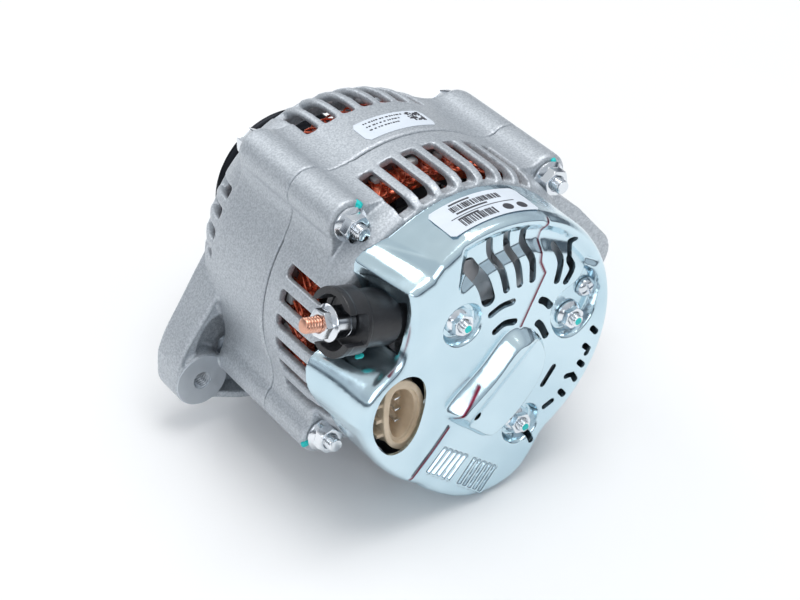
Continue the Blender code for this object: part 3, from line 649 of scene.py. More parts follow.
def adjuster_ear():
    """Plate, two walls that meet at the threaded boss, and a web that ends in a pocket."""
    slab = [(-53.0, 6.0), (-60.0, -3.5), (-68.5, -16.2), (-76.5, -26.0), (-81.0, -35.0)]
    slab += arc(11.6, 175.0, 290.0, 12, EAR_CENTRE)
    slab += [(-56.0, -60.3), (-46.0, -61.5), (-38.0, -60.2), (-31.0, -56.0), (-34.0, -46.0), (-45.0, -10.0)]
    wall = [(-50.5, 8.4), (-58.4, -2.6), (-67.0, -15.5), (-75.2, -27.6), (-79.0, -36.0), (-79.8, -43.0)]
    strut = [(-66.0, -56.4), (-58.0, -58.8), (-50.5, -60.6), (-44.5, -61.4), (-37.0, -59.6), (-29.0, -55.6)]
    web = [(-46.0, 3.0), (-57.0, -4.0), (-74.0, -27.0), (-76.5, -34.0), (-71.0, -33.4), (-69.2, -27.4)]
    web += [(-66.6, -22.2), (-62.6, -18.8), (-58.0, -18.4), (-54.0, -20.8), (-44.0, -25.0)]
    wall_line, strut_line = smooth_path(wall, 4), smooth_path(strut, 4)

    def web_height(point):
        edge = path_distance(np.array([point.x]), np.array([point.z]), wall)[0]
        return 63.6 + 3.0 * portion(point.x, -56.0, -75.0) + 0.30 * min(edge, 12.0)

    plate = prism(slab[::-1], 73.5, 80.8)
    boss = cylinder(EAR_CENTRE, EAR_R, 65.0, 80.8, 72)
    widths = ((62.0, 2.6), (66.0, 3.8), (80.8, 4.0))
    outer = loft([(y, ribbon(wall_line, width)) for y, width in widths])
    rear_end(outer, lambda point: point.y + 3.7 * portion(point.x, -56.0, -75.0))
    lower = loft([(60.5, ribbon(strut_line, 3.2)), (80.8, ribbon(strut_line, 4.0))])
    rear_end(lower, lambda point: 60.5 + 5.6 * portion(point.x, -46.0, -64.0))
    sheet = rear_end(loft([(66.5, inset(web[::-1], 0.8)), (76.0, web[::-1])]), web_height)
    return [plate, boss, outer, lower, sheet]


def ear_machining():
    """Faced ring and threaded bore of the adjuster boss."""
    ring = revolve([(4.0, 64.8), (11.3, 64.8), (11.5, 65.0), (11.5, 65.3), (4.0, 65.3)], 72)
    bore = cut(cylinder(AXIS, 4.5, 65.1, 80.6, 40), thread(3.9, 0.6, 1.25, 64.0, 82.0, 40, 8))
    made = moved(combined([ring, bore]), EAR_CENTRE[0], 0.0, EAR_CENTRE[1])
    settle(made, "adjuster_boss_machining", FIXED, CAST_CUT)


def pivot_lug(y_low, y_high, room_r):
    """Lug with its bore, cut back to room_r inside the barrel."""
    outline = [polar(56.0, -40.0), polar(61.0, -38.0), (64.0, -31.0)]
    outline += arc(12.2, -62.0, 42.0, 14, PIVOT_CENTRE)
    outline += [(76.0, 12.3), (66.0, 21.5), polar(61.0, 24.0), polar(56.0, 24.0)]
    room = cylinder(AXIS, room_r, y_low - 8.0, y_high + 5.5, 96)
    bore = cylinder(PIVOT_CENTRE, PIVOT_BORE_R, y_low - 8.0, y_high + 10.0, 48)
    return cut(prism(outline, y_low, y_high), room, bore)


def front_slots():
    front = [(80.0, 90.0), (51.0, 90.0), (51.0, 84.0), (44.0, 81.0)]
    long_slot = [(44.0, 56.0), (80.0, 56.0)] + front
    short_slot = [(44.0, 69.5), (80.0, 69.5)] + front
    return [radial_slots(spaced(108.4, 7, -8.2), 5.4, long_slot),
            radial_slots(spaced(145.8, 4, 8.7), 4.8, short_slot),
            radial_slots(spaced(244.0, 5, 9.2) + [-36.0, 17.0], 5.2, long_slot)]


def front_shell():
    outer = [(60.9, 30.2), (BARREL_R, 31.0), (BARREL_R, 60.0), (61.4, 65.0), (60.4, 71.0), (58.6, 76.5)]
    outer += [(56.2, 81.0), (53.6, 85.0), (50.5, 88.0), (47.0, 89.0), (30.5, 89.0), (29.5, 90.6)]
    cavity = [(59.3, 20.0), (59.3, 54.3), (CAVITY_R, 54.3), (58.2, 66.0), (56.4, 73.0), (53.4, 78.0)]
    cavity += [(47.0, 84.0), (28.5, 84.0), (28.5, 73.2), (23.8, 73.2), (23.8, 88.4)]
    cavity += [(20.0, 88.4), (20.0, 95.0)]
    shell = cut(lathe(outer, 160), lathe(cavity, 128), *front_slots())
    cut(shell, bolt_tools(BOLT_HEAD_ROOM_R, BOSS_FRONT_Y, 100.0))
    return cut(shell, ring_sectors([(a, a + 40.0) for a in spaced(10.0, 6, 60.0)], 33.0, 44.0, 80.0, 95.0))


def front_ear():
    pieces = adjuster_ear()
    for piece in pieces:
        cut(piece, cylinder(AXIS, CAVITY_R, 50.0, 78.0, 96), cylinder(AXIS, 54.4, 77.0, 85.0, 96))
    ear = moulded(combined(pieces), 0.45, 3)
    head_recess = cylinder(polar(BOLT_CIRCLE_R, BOLT_ANGLES[2]), BOLT_HEAD_ROOM_R, 76.5, 100.0)
    return cut(ear, cylinder(EAR_CENTRE, EAR_BORE_R, 60.0, 90.0, 40), head_recess)


def front_housing():
    bosses = bolt_bosses(((30.2, 9.2, 60.2), (54.0, 9.2, 60.2), (56.0, 9.2, 59.0), (62.0, 9.1, 59.0),
                          (64.6, 8.6, 59.0), (65.9, 7.9, 59.0), (BOSS_FRONT_Y, 7.0, 59.0)))
    cut(bosses, *front_slots())
    ear = front_ear()
    lug = pivot_lug(58.0, 80.0, CAVITY_R)
    shell = moulded(front_shell(), 0.6, 4)
    moulded(cut(bosses, bolt_tools(BOLT_HOLE_R, 20.0, 90.0)), 0.6, 4)
    body = moulded(combined([shell, bosses, ear, lug]), 0.6, 3)
    settle(body, "front_housing_casting", FIXED, CAST, ("front_housing",))
    ear_machining()


def rear_slots():
    slot = [(48.0, 20.4), (80.0, 20.4), (80.0, -12.0), (59.2, -12.0), (56.6, -3.0), (56.0, -1.2)]
    slot.append((48.0, -1.2))
    rows = ((109.3, 7, -9.2, 6.0), (152.6, 6, 9.9, 5.6), (241.0, 5, 9.4, 5.6))
    return [radial_slots(spaced(first, count, pitch), width, slot) for first, count, pitch, width in rows]


def rear_shell():
    outer = [(56.5, -9.0), (58.6, -8.0), (60.3, -5.5), (61.3, -2.5), (BARREL_R, 1.0), (BARREL_R, 28.6)]
    outer.append((60.9, 29.8))
    shell = join(lathe(outer, 160), cylinder(AXIS, 18.5, -14.0, -8.0, 64))
    cavity = [(11.5, -16.0), (11.5, -12.7), (16.3, -12.7), (16.3, -1.0), (19.0, -1.0), (19.0, -4.5)]
    cavity += [(53.0, -4.5), (CAVITY_R, 0.0), (CAVITY_R, 21.7), (59.3, 21.7), (59.3, 40.0)]
    cut(shell, lathe(cavity, 128), *rear_slots())
    sectors = ((22.0, 62.0), (68.0, 108.0), (142.0, 192.0), (202.0, 252.0), (-52.0, -14.0))
    return cut(shell, ring_sectors(sectors, 27.0, 47.0, -12.0, 0.0))


def rear_housing():
    bosses = bolt_bosses(((2.5, 8.4, 60.2), (4.2, 9.2, 60.2), (29.8, 9.2, 60.2)))
    cut(bosses, *rear_slots())
    lug = pivot_lug(8.0, 29.5, 60.4)
    body = combined([rear_shell(), cut(bosses, bolt_tools(BOLT_HOLE_R, -10.0, 40.0)), lug])
    moulded(body, 0.62, 5)
    settle(body, "rear_housing_casting", FIXED, CAST, ("rear_housing",))


# ---- windings and core


def end_turn(near, far, seed):
    """Layers of leaning wires; each point of a loop is (share of its span, rise, outward)."""
    rng = random.Random(seed)
    loop = ((0.0, 0.0, 0.0), (0.06, 0.35, 0.3), (0.24, 0.72, 0.9), (0.5, 1.0, 0.6), (0.76, 0.72, -0.4),
            (0.94, 0.35, -0.6), (1.0, 0.0, -0.4))
    wires = []
    reach = far - near
    for layer in range(3):
        radius = 50.9 + 2.3 * layer
        lean = 15.0 if layer % 2 == 0 else -12.0
        for index in range(96):
            start = 360.0 * index / 96 + rng.uniform(-0.5, 0.5) + layer * 1.3
            top = near + reach * rng.uniform(0.86, 0.97)
            span = lean * rng.uniform(0.85, 1.15)
            points = []
            for along, rise, out in loop:
                x, z = polar(radius + out + rng.uniform(-0.25, 0.25), start + span * along)
                points.append((x, near + (top - near) * rise, z))
            wires.append(tube(smooth_path(points, 3), 0.46, 6))
    return wires


def windings():
    core = [(48.8, 21.6), (54.6, 21.6), (55.4, 15.0), (53.6, 10.6), (50.4, 10.6), (49.0, 15.0)]
    front = [(r, 76.0 - y) for r, y in core]
    pieces = [revolve(core, 96), revolve(front, 96)] + end_turn(22.4, 9.6, 3) + end_turn(53.6, 66.4, 5)
    settle(combined(pieces), "stator_end_turns", FIXED, WIRE, ("stator_winding",), 60.0)
    rng = random.Random(11)
    liners = []
    for index in range(24):
        angle = 15.0 * index + rng.uniform(-2.0, 2.0)
        for y_range in ((18.2, 21.8), (54.2, 57.8)):
            liners.append(turned(bevelled(block((53.5, 57.0), y_range, (-2.1, 2.1)), 0.5), angle))
    settle(combined(liners), "slot_insulation", FIXED, LINER, ())


# ---- rear cover


def cover_outlines():
    """Outline of the wall at its base and at the shoulder of the face, point for point."""
    base = arc(57.9, -60.0, 114.0, 58)
    base += [(-30.0, 50.4), (-36.0, 49.8), (-41.0, 48.8), (-44.8, 46.2), (-45.6, 41.6)]
    mid = arc(57.6, -60.0, 102.0, 58)
    mid += [(-18.0, 53.2), (-24.0, 50.0), (-28.2, 45.8), (-34.0, 43.9), (-38.4, 42.0)]
    base_side = [(-43.6, 37.4), (-41.8, 31.5), (-41.0, 22.0), (-43.0, 15.6), (-49.5, 13.6), (-57.0, 13.6)]
    base_side += [(-63.2, 12.0), (-66.6, 8.4), (-67.4, 2.5), (-66.0, -4.5), (-62.4, -12.0)]
    mid_side = [(-37.4, 36.6), (-36.9, 31.2), (-38.2, 24.0), (-40.2, 17.0), (-43.2, 12.4), (-47.4, 9.6)]
    mid_side += [(-51.2, 7.0), (-54.8, 4.0), (-57.6, 0.6), (-59.2, -4.5), (-59.9, -10.4)]
    rest = arc(60.4, 197.0, 236.0, 12)
    lobe = ((62.4, -118.5), (64.8, -111.0), (67.2, -104.5), (69.0, -98.5), (70.0, -92.0), (70.0, -86.0),
            (69.3, -80.5), (67.4, -75.5), (64.2, -71.0), (60.6, -66.5), (58.4, -63.0))
    rest += [polar(radius, angle) for radius, angle in lobe]
    return base + smooth_path(base_side, 4) + rest, mid + smooth_path(mid_side, 4) + rest


def smoothstep(value):
    value = np.clip(value, 0.0, 1.0)
    return value * value * (3.0 - 2.0 * value)


def slope(value):
    value = np.clip(value, 0.0, 1.0)
    return 0.6 * value + 0.4 * smoothstep(value)


def path_distance(x, z, path):
    """Distance of every point to an open path."""
    best = np.full_like(x, 1e9)
    for (ax, az), (bx, bz) in zip(path, path[1:]):
        ex, ez = bx - ax, bz - az
        along = np.clip(((x - ax) * ex + (z - az) * ez) / max(ex * ex + ez * ez, 1e-9), 0.0, 1.0)
        best = np.minimum(best, np.hypot(x - ax - ex * along, z - az - ez * along))
    return best


def signed_distance(x, z, outline):
    """Distance of every point to a polygon's edge, positive inside."""
    closed = list(outline) + [outline[0]]
    inside = np.zeros(x.shape, bool)
    for (ax, az), (bx, bz) in zip(closed, closed[1:]):
        if az != bz:
            inside ^= ((az > z) != (bz > z)) & (x < ax + (z - az) * (bx - ax) / (bz - az))
    return np.where(inside, 1.0, -1.0) * path_distance(x, z, closed)


HUB = closed_path([(-21.5, -21.0), (-11.0, -31.0), (-3.0, -38.0), (4.0, -36.5), (14.0, -29.0),
                   (22.0, -19.0), (24.0, -8.0), (19.0, 2.5), (11.5, 7.0), (4.5, 5.5), (-6.0, -4.5),
                   (-20.0, -15.0)])
PAIR_WELL = closed_path([(31.0, -5.5), (39.5, -8.2), (47.5, -2.5), (51.0, 8.0), (49.0, 17.0), (43.5, 22.0),
                         (38.8, 17.5), (30.0, 13.5), (27.0, 5.0)])
RECESS = [(-14.5, 36.5), (-8.0, 39.5), (2.0, 41.5), (16.0, 42.5), (24.5, 39.5), (36.0, 33.5), (44.0, 23.0)]
RECESS += arc(52.6, 26.0, 104.0, 16)
CREASE = [(12.1, 8.0), (17.5, 18.5), (22.6, 28.2), (20.2, 34.0), (20.6, 42.5), (23.8, 51.0)]
LOWER_CREASE = [(-38.4, -43.2), (-29.1, -34.4), (-20.9, -25.8)]
LOUVRES = (((-22.3, -34.4), (-10.3, -44.4), (-18.8, -55.0), (-31.9, -43.5)),
           ((-8.3, -46.4), (4.2, -57.2), (-4.6, -67.3), (-17.2, -56.7)))


def louvre_height(x, z):
    height = np.zeros_like(x)
    for corner, across, _, down in LOUVRES:
        ax, az = across[0] - corner[0], across[1] - corner[1]
        dx, dz = down[0] - corner[0], down[1] - corner[1]
        det = ax * dz - az * dx
        u = ((x - corner[0]) * dz - (z - corner[1]) * dx) / det
        v = (ax * (z - corner[1]) - az * (x - corner[0])) / det
        inside = (u >= 0.0) & (u <= 1.0)
        ends = smoothstep(np.minimum(v, 1.0 - v) / 0.06)
        height += np.where(inside, 1.6 * ends * (0.5 - 0.5 * np.cos(2.0 * math.pi * 5.0 * u)) ** 0.7, 0.0)
    return height


def pressed_height(x, z):
    """How far the cover face stands out (positive) or in at each point, in millimetres."""
    wide = smoothstep((-0.65 * x + 0.76 * (z + 17.0) + 1.0) / 9.0)
    height = (3.0 + 3.2 * wide) * slope((signed_distance(x, z, HUB) + 0.4) / (1.8 + 3.4 * wide))
    height -= 3.2 * slope((signed_distance(x, z, RECESS) + 3.0) / 5.0)
    for centre in COVER_STUDS[:2]:
        height -= 4.4 * smoothstep((9.4 - np.hypot(x - centre[0], z - centre[1])) / 2.2)
    height -= 4.4 * smoothstep((signed_distance(x, z, PAIR_WELL) + 0.4) / 2.4)
    height += 0.9 * np.exp(-((path_distance(x, z, CREASE) / 0.9) ** 2))
    height += 0.9 * np.exp(-((path_distance(x, z, LOWER_CREASE) / 0.9) ** 2))
    return height + louvre_height(x, z)


def vertex_places(mesh):
    places = np.empty(len(mesh.vertices) * 3)
    mesh.vertices.foreach_get("co", places)
    return places.reshape(-1, 3)


def press_face(shell):
    """Move the cover's face by the pressed height, fading out down the wall."""
    points = vertex_places(shell.data)
    face = points[:, 1] < -27.0
    x, y, z = points[face].T
    points[face, 1] = y - pressed_height(x, z) * smoothstep((-27.0 - y) / 5.0)
    shell.data.vertices.foreach_set("co", points.ravel())
    shell.data.update()


def paint_crease_reflections(shell):
    """Write the "crease" attribute: 1 along the pressed lines that get a painted dark red reflection, 0
    elsewhere.
    """
    shoulder = smooth_path([(-37.2, 31.0), (-37.6, 25.0), (-39.6, 17.8), (-42.8, 12.6), (-46.6, 9.2)], 4)
    hub_side = [(-19.6, -20.4), (-9.0, -9.6)]
    x, y, z = (vertex_places(shell.data) * 1000.0 + (0.0, SHAFT_END_Y, 0.0)).T
    painted_reflection = np.zeros(len(x))
    # painted reflection: mask of mirrored dark red light along the creases, the cover's shoulder and the side
    # of the hub, kept to the face
    for path, reach in ((CREASE, 0.55), (LOWER_CREASE, 0.6), (hub_side, 0.5), (shoulder, 0.6)):
        painted_reflection = np.maximum(painted_reflection, 1.0 - smoothstep((path_distance(x, z, path) - reach * 0.5) / reach))
    painted_reflection *= smoothstep((-32.5 - y) / 1.0)
    crease = shell.data.attributes.new("crease", "FLOAT", "POINT")
    crease.data.foreach_set("value", painted_reflection.astype(np.float32))


def vent_slots():
    wide = [(-10.8, 43.3), (-5.8, 34.5), (-3.4, 26.5)]
    narrow = [[(-1.2, 50.0), (-0.8, 44.5), (2.9, 36.0), (5.0, 27.4)],
              [(6.7, 50.6), (6.9, 43.9), (10.0, 35.7), (11.2, 27.4)],
              [(14.6, 50.0), (13.9, 42.8), (16.7, 35.6), (17.1, 27.2)],
              [(27.8, 37.1), (30.3, 29.9), (29.0, 21.7)],
              [(37.9, 35.7), (34.4, 30.2), (36.2, 24.6), (33.5, 19.6)],
              [(-1.8, 18.9), (3.0, 20.6), (8.0, 20.6)],
              [(0.3, 10.2), (4.6, 12.0), (9.2, 10.9)], [(21.9, 15.6), (24.0, 14.0), (26.2, 11.2)],
              [(20.6, 5.4), (22.4, 3.0), (24.8, -2.2)]]
    edge = [[(48.2, -9.0), (50.2, -11.6)], [(44.8, -16.0), (47.0, -18.6), (46.0, -20.2)],
            [(42.6, -23.2), (44.4, -25.4)], [(36.4, -27.4), (39.4, -27.8), (41.0, -31.0)],
            [(33.6, -33.6), (35.4, -36.0)], [(26.0, -37.8), (29.6, -36.6)], [(18.4, -47.6), (20.0, -52.0)],
            [(24.6, -26.0), (29.6, -19.6)]]
    outlines = [ribbon(smooth_path(wide, 4), 6.2, 8)]
    outlines += [ribbon(smooth_path(path, 4), 3.1, 8) for path in narrow]
    outlines += [ribbon(path, 2.6, 6) for path in edge]
    slots = [prism(outline, FACE_Y - 9.0, FACE_Y + 9.0) for outline in outlines]
    slots.append(cylinder((-9.5, -23.7), 1.9, FACE_Y - 12.0, FACE_Y + 9.0, 32))
    return combined(slots)


def rear_cover():
    base, mid = cover_outlines()
    shell = loft([(-9.4, base), (-30.5, mid), (-33.2, inset(mid, 0.7)), (-34.8, inset(mid, 1.9)),
                  (FACE_Y, inset(mid, 3.6))])
    hollow = loft([(-5.0, inset(base, SHEET)), (-9.4, inset(base, SHEET)), (-30.5, inset(mid, SHEET)),
                   (-32.6, inset(mid, SHEET + 0.6)), (FACE_Y + SHEET, inset(mid, SHEET + 2.4))])
    moulded(cut(shell, hollow), 0.5, 6)
    press_face(shell)
    holes = [cylinder(centre, 2.8, FACE_Y - 1.0, FACE_Y + 9.0, 40) for centre in COVER_STUDS]
    holes.append(cylinder(COVER_SCREW, 2.3, FACE_Y - 1.0, FACE_Y + 9.0, 32))
    socket = closed_path([(-54.9, -8.0), (-54.6, -15.0), (-51.4, -22.8), (-46.7, -27.2), (-40.6, -26.9),
                          (-35.4, -21.4), (-31.9, -11.0), (-31.2, -3.2), (-33.2, 2.6), (-37.4, 6.0),
                          (-42.6, 6.4), (-48.3, 4.2), (-52.6, -1.0)])
    holes.append(prism(socket, FACE_Y - 1.0, FACE_Y + 5.0))
    cut(shell, combined(holes), vent_slots())
    x, y, z = TERMINAL_ROOT
    cut(shell, prism(ribbon([(x + 3.8, z - 1.1), (x - 4.0, z + 1.2)], 21.9), y - 10.8, 0.0))
    settle(shell, "rear_cover_pressing", FIXED, ZINC, ("rear_cover",), 50.0)
    paint_crease_reflections(shell)


# ---- fasteners


def thread(radius, depth, pitch, y_low, y_high, segments=28, steps=6):
    """Helical thread on a rod along Y."""
    rings = []
    count = max(int((y_high - y_low) / pitch * steps), 2)
    for index in range(count + 1):
        y = y_low + (y_high - y_low) * index / count
        taper = min((y - y_low), (y_high - y)) / (0.5 * pitch)
        ring = []
        for step in range(segments):
            phase = (y / pitch + step / segments) % 1.0
            height = 1.0 - abs(2.0 * phase - 1.0)
            r = radius - depth * (1.0 - smoothstep(1.6 * height)) - 0.35 * max(0.0, 1.0 - taper)
            x, z = polar(r, 360.0 * step / segments)
            ring.append((x, y, z))
        rings.append(ring)
    return skin(rings)


def hex_nut(across, seat_y, height, bore, turn, flange=True):
    """Chamfered hexagon nut on the -Y side of its seat, with a conical flange."""
    top = seat_y - height
    corner = across / math.sqrt(3.0)
    body = prism(circle(AXIS, corner, 6, turn), top, seat_y - 0.8)
    cone = [(corner * 0.90, top - 0.2), (corner * 1.02, top + 0.6), (corner * 1.1, seat_y)]
    boolean(body, [lathe(cone, 48)], "INTERSECT")
    if flange:
        rim = across * 0.70
        skirt = [(rim - 0.3, seat_y), (rim, seat_y - 0.3), (rim, seat_y - 1.0), (rim - 0.5, seat_y - 1.4)]
        join(body, lathe(skirt + [(across * 0.53, seat_y - 2.3)], 48))
    cut(body, cylinder(AXIS, bore, top - 5.0, seat_y + 5.0, 40))
    cut(body, lathe([(bore + 1.4, top - 1.0), (max(bore - 0.4, 0.4), top + 0.9)], 40))
    return bevelled(body, 0.14, 2, 24.0)


def fasten(obj, place, name, node):
    """Settle a plated fastener on its (x, z) axis, in place of a CAD node."""
    settle(moved(obj, place[0], 0.0, place[1]), name, FIXED, BRIGHT, (node,))


def through_bolts():
    for index, angle in enumerate(BOLT_ANGLES, start=1):
        place = polar(BOLT_CIRCLE_R, angle)
        rod = cylinder(AXIS, 2.95, -1.0, BOSS_FRONT_Y + 2.0, 24)
        head = hex_nut(10.0, 0.0, 5.2, 0.4, 15.0 * index, flange=False)
        head.data.transform(Matrix.Rotation(math.pi, 4, "Z"))
        moved(head, y=BOSS_FRONT_Y + 0.3)
        bolt = combined([rod, thread(2.95, 0.42, 1.0, -7.6, 0.0), head])
        fasten(bolt, place, f"through_bolt_rod_{index}", f"through_bolt_{index}")
        nut = hex_nut(10.0, 2.2, 6.0, 3.1, 22.0 + 17.0 * index)
        fasten(nut, place, f"flange_nut_{index}", f"through_bolt_nut_{index}")


def cross_screw(seat):
    profile = [(4.0, seat), (4.2, seat - 0.4), (4.1, seat - 1.2), (3.4, seat - 2.2), (2.2, seat - 2.8)]
    screw = lathe(profile, 48)
    for turn in (20.0, 110.0):
        blade = [polar(3.0, turn), polar(3.0, turn + 180.0)]
        cut(screw, prism(ribbon(blade, 0.95), seat - 5.0, seat - 1.5))
    return join(screw, cylinder(AXIS, 1.9, seat - 0.5, -18.0, 24))


def cover_fasteners():
    seat = FACE_Y + 4.2
    for index, place in enumerate(COVER_STUDS, start=1):
        rod = cylinder(AXIS, 2.4, seat - 0.5, -5.0, 24)
        stud = combined([rod, thread(2.45, 0.36, 0.8, seat - 7.0, seat)])
        fasten(stud, place, f"cover_stud_thread_{index}", f"cover_stud_{index}")
        nut = hex_nut(8.0, seat, 4.6, 2.6, 10.0 + 21.0 * index)
        fasten(nut, place, f"cover_flange_nut_{index}", f"cover_nut_{index}")
        dab = lathe([(1.5, seat - 7.1), (2.0, seat - 6.7), (2.3, seat - 6.0)], 24)
        wobble(dab, 0.12)
        settle(moved(dab, place[0], 0.0, place[1]), f"paint_dab_stud_{index}", FIXED, PAINT)
    fasten(cross_screw(seat), COVER_SCREW, "cover_cross_screw", "cover_screw")


def wobble(obj, amount, scale=1.1):
    noise.seed_set(7)
    for vertex in obj.data.vertices:
        vertex.co += noise.noise_vector(vertex.co * scale) * amount


# ---- power terminal


def along_terminal(obj):
    turned(obj, TERMINAL_ANGLE)
    return moved(obj, *TERMINAL_ROOT)


def axial(profile, segments):
    """Lathed solid laid along X, the terminal's own axis."""
    made = lathe(profile, segments)
    made.data.transform(Matrix.Rotation(-math.pi / 2.0, 4, "Z"))
    return made


def terminal():
    profile = [(9.6, -2.0), (9.6, 2.4), (10.9, 3.2), (10.9, 16.8), (11.5, 17.4), (12.8, 17.8), (12.8, 24.6)]
    body = axial(profile + [(13.1, 24.9), (13.1, 27.6)], 96)
    notch = block((19.5, 40.0), (-20.0, -2.0), (-8.2, 3.2))
    cut(body, axial([(10.3, 19.5), (10.3, 40.0)], 96), notch)
    side_gap = block((20.5, 40.0), (2.0, 20.0), (-7.9, 7.9))
    side_gap.data.transform(Matrix.Rotation(math.radians(24.5), 4, "X"))
    cut(body, side_gap, axial([(3.3, -10.0), (3.3, 30.0)], 40))
    moulded(body, 0.3, 2)
    settle(along_terminal(body), "terminal_shroud", FIXED, BLACK, ("terminal_insulator",))
    rod = cylinder(AXIS, 2.7, -18.5, 8.0, 32)
    stud = combined([thread(3.0, 0.42, 1.25, -39.5, -18.0, 32, 8), rod])
    stud.data.transform(Matrix.Rotation(-math.pi / 2.0, 4, "Z"))
    stud.data.transform(Matrix.Scale(-1.0, 4, (1.0, 0.0, 0.0)))
    face_outward(stud)
    settle(along_terminal(stud), "terminal_stud_thread", FIXED, COPPER, ("b_terminal_stud",))
    nut = hex_nut(10.0, 0.0, 5.0, 3.1, 12.0)
    nut.data.transform(Matrix.Rotation(math.pi / 2.0, 4, "Z"))
    moved(nut, 27.9)
    collar = axial([(5.2, 19.7), (6.0, 20.2), (6.0, 22.0), (5.6, 22.2), (5.6, 22.6), (6.0, 22.8), (6.0, 27.4),
                    (5.6, 27.8)], 56)
    fasten(along_terminal(combined([nut, collar])), AXIS, "terminal_flange_nut", "b_terminal_nut")


def face_outward(obj):
    bm = bmesh.new()
    bm.from_mesh(obj.data)
    bmesh.ops.recalc_face_normals(bm, faces=bm.faces)
    bm.to_mesh(obj.data)
    bm.free()


# ---- plug socket


def plug_socket():
    body = closed_path([(-47.9, -14.0), (-46.0, -24.4), (-41.0, -29.6), (-37.0, -29.8), (-31.7, -24.6),
                        (-29.4, -17.8), (-30.2, -7.8), (-34.2, -0.6), (-40.4, 2.9), (-46.5, 0.0)], 5)
    shell = prism(body, -32.0, -14.5)
    join(shell, prism(inset(body, -1.1), -24.5, -23.0))
    cavity = closed_path([(-44.2, -14.0), (-42.9, -22.5), (-39.4, -25.4), (-35.8, -22.8), (-33.4, -17.0),
                          (-33.0, -11.0), (-35.2, -5.3), (-38.8, -2.8), (-42.6, -3.4)], 5)
    cut(shell, prism(cavity, -40.0, -21.0))
    cut(shell, prism(inset(cavity, -1.3), -40.0, -30.4))
    for z in (-6.0, -13.0, -20.0):
        join(shell, block((-50.4, -46.0), (-31.0, -15.0), (z - 0.8, z + 0.8)))
    moulded(shell, 0.3, 3)
    settle(shell, "plug_socket_moulding", FIXED, TAN, ("regulator_connector",))
    pins = []
    for x, z in ((-38.8, -8.6), (-38.6, -13.8), (-38.8, -19.0)):
        pins.append(bevelled(block((x - 1.4, x + 1.4), (-28.0, -20.0), (z - 0.4, z + 0.4)), 0.15))
    settle(combined(pins), "plug_blades", FIXED, BRIGHT, ())


# ---- brush springs


def node_box(name):
    """Low and high corner of a CAD node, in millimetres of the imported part's frame."""
    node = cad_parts[name]
    corners = [node.matrix_world @ Vector(corner) for corner in node.bound_box]
    low = Vector([min(corner[axis] for corner in corners) for axis in range(3)])
    high = Vector([max(corner[axis] for corner in corners) for axis in range(3)])
    return low * 1000.0, high * 1000.0


def brush_springs():
    """Fine coil springs in the brush pockets, fitted to the boxes of the CAD springs."""
    travel, clearance, coil_r, wire_r, turns, steps = 4.0, 0.1, 1.7, 0.24, 8.0, 20
    for index in (1, 2):
        low, high = node_box(f"brush_spring_{index}")
        middle, height = (low + high) / 2.0, high.z - low.z
        path = []
        for step in range(int(turns * steps) + 1):
            along = step / (turns * steps)
            x, y = polar(coil_r, 360.0 * step / steps)
            rise = 0.6 * along + 0.4 * along * along * (3.0 - 2.0 * along)
            z = low.z + wire_r + (height - 2.0 * wire_r) * rise
            path.append((middle.x + x, middle.y + SHAFT_END_Y + y, z))
        spring = tube(path, wire_r)
        fasten(spring, AXIS, f"brush_spring_coil_{index}", f"brush_spring_{index}")
        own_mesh(spring)


# ---- pulley


def pulley():
    grooves, pitch, low, high = 5, 3.56, 92.0, 113.8
    profile = [(7.3, 88.6), (11.8, 88.6), (11.8, low), (24.0, low), (30.6, low), (31.4, 92.3), (32.0, 93.0),
               (32.0, 94.6)]
    start = (low + high - grooves * pitch) / 2.0
    groove = ((31.5, 0.1), (31.2, 0.35), (28.9, 1.55), (28.7, 1.78), (28.9, 2.0), (31.2, 3.2))
    for index in range(grooves):
        y = start + index * pitch
        profile += [(radius, y + rise) for radius, rise in groove]
    profile += [(31.6, 112.0), (32.0, 112.4), (32.0, 113.2), (31.4, high), (26.0, high), (25.2, 113.2)]
    profile += [(23.4, 107.2), (22.6, 106.8), (7.3, 106.8)]
    settle(revolve(profile, 128), "grooved_pulley", ROTOR, PULLEY_BLACK, ("pulley",), 60.0)
    nut = hex_nut(24.0, 0.0, 10.6, 7.2, 10.0, flange=False)
    nut.data.transform(Matrix.Rotation(math.pi, 4, "Z"))
    settle(moved(nut, y=107.1), "pulley_lock_nut", ROTOR, BRIGHT, ("pulley_nut",))


# ---- labels and paint


def patch(outline, radius):
    """Thin sheet wrapped on the barrel or cover wall from (angle, y) points."""
    bm = bmesh.new()
    rings = []
    for r in (radius, radius + 0.12):
        ring = []
        for angle, y in outline:
            x, z = polar(r, angle)
            ring.append(bm.verts.new((x, y, z)))
        rings.append(ring)
    count = len(outline)
    for ring in rings:
        for step in range(count // 2 - 1):
            bm.faces.new((ring[step], ring[step + 1], ring[count - 2 - step], ring[count - 1 - step]))
    for step in range(count):
        after = (step + 1) % count
        bm.faces.new((rings[0][step], rings[0][after], rings[1][after], rings[1][step]))
    return to_object(bm)


def band(a_low, a_high, y_low, y_high, steps=16, corner=0.0):
    """Outline of a curved rectangle: along the low side, back along the high side."""
    low, high = [], []
    for step in range(steps + 1):
        along = step / steps
        angle = a_low + (a_high - a_low) * along
        edge = min(along, 1.0 - along) * steps
        trim = corner * max(0.0, 1.0 - edge) ** 2
        low.append((angle, y_low + trim))
        high.append((angle, y_high - trim))
    return low + high[::-1]


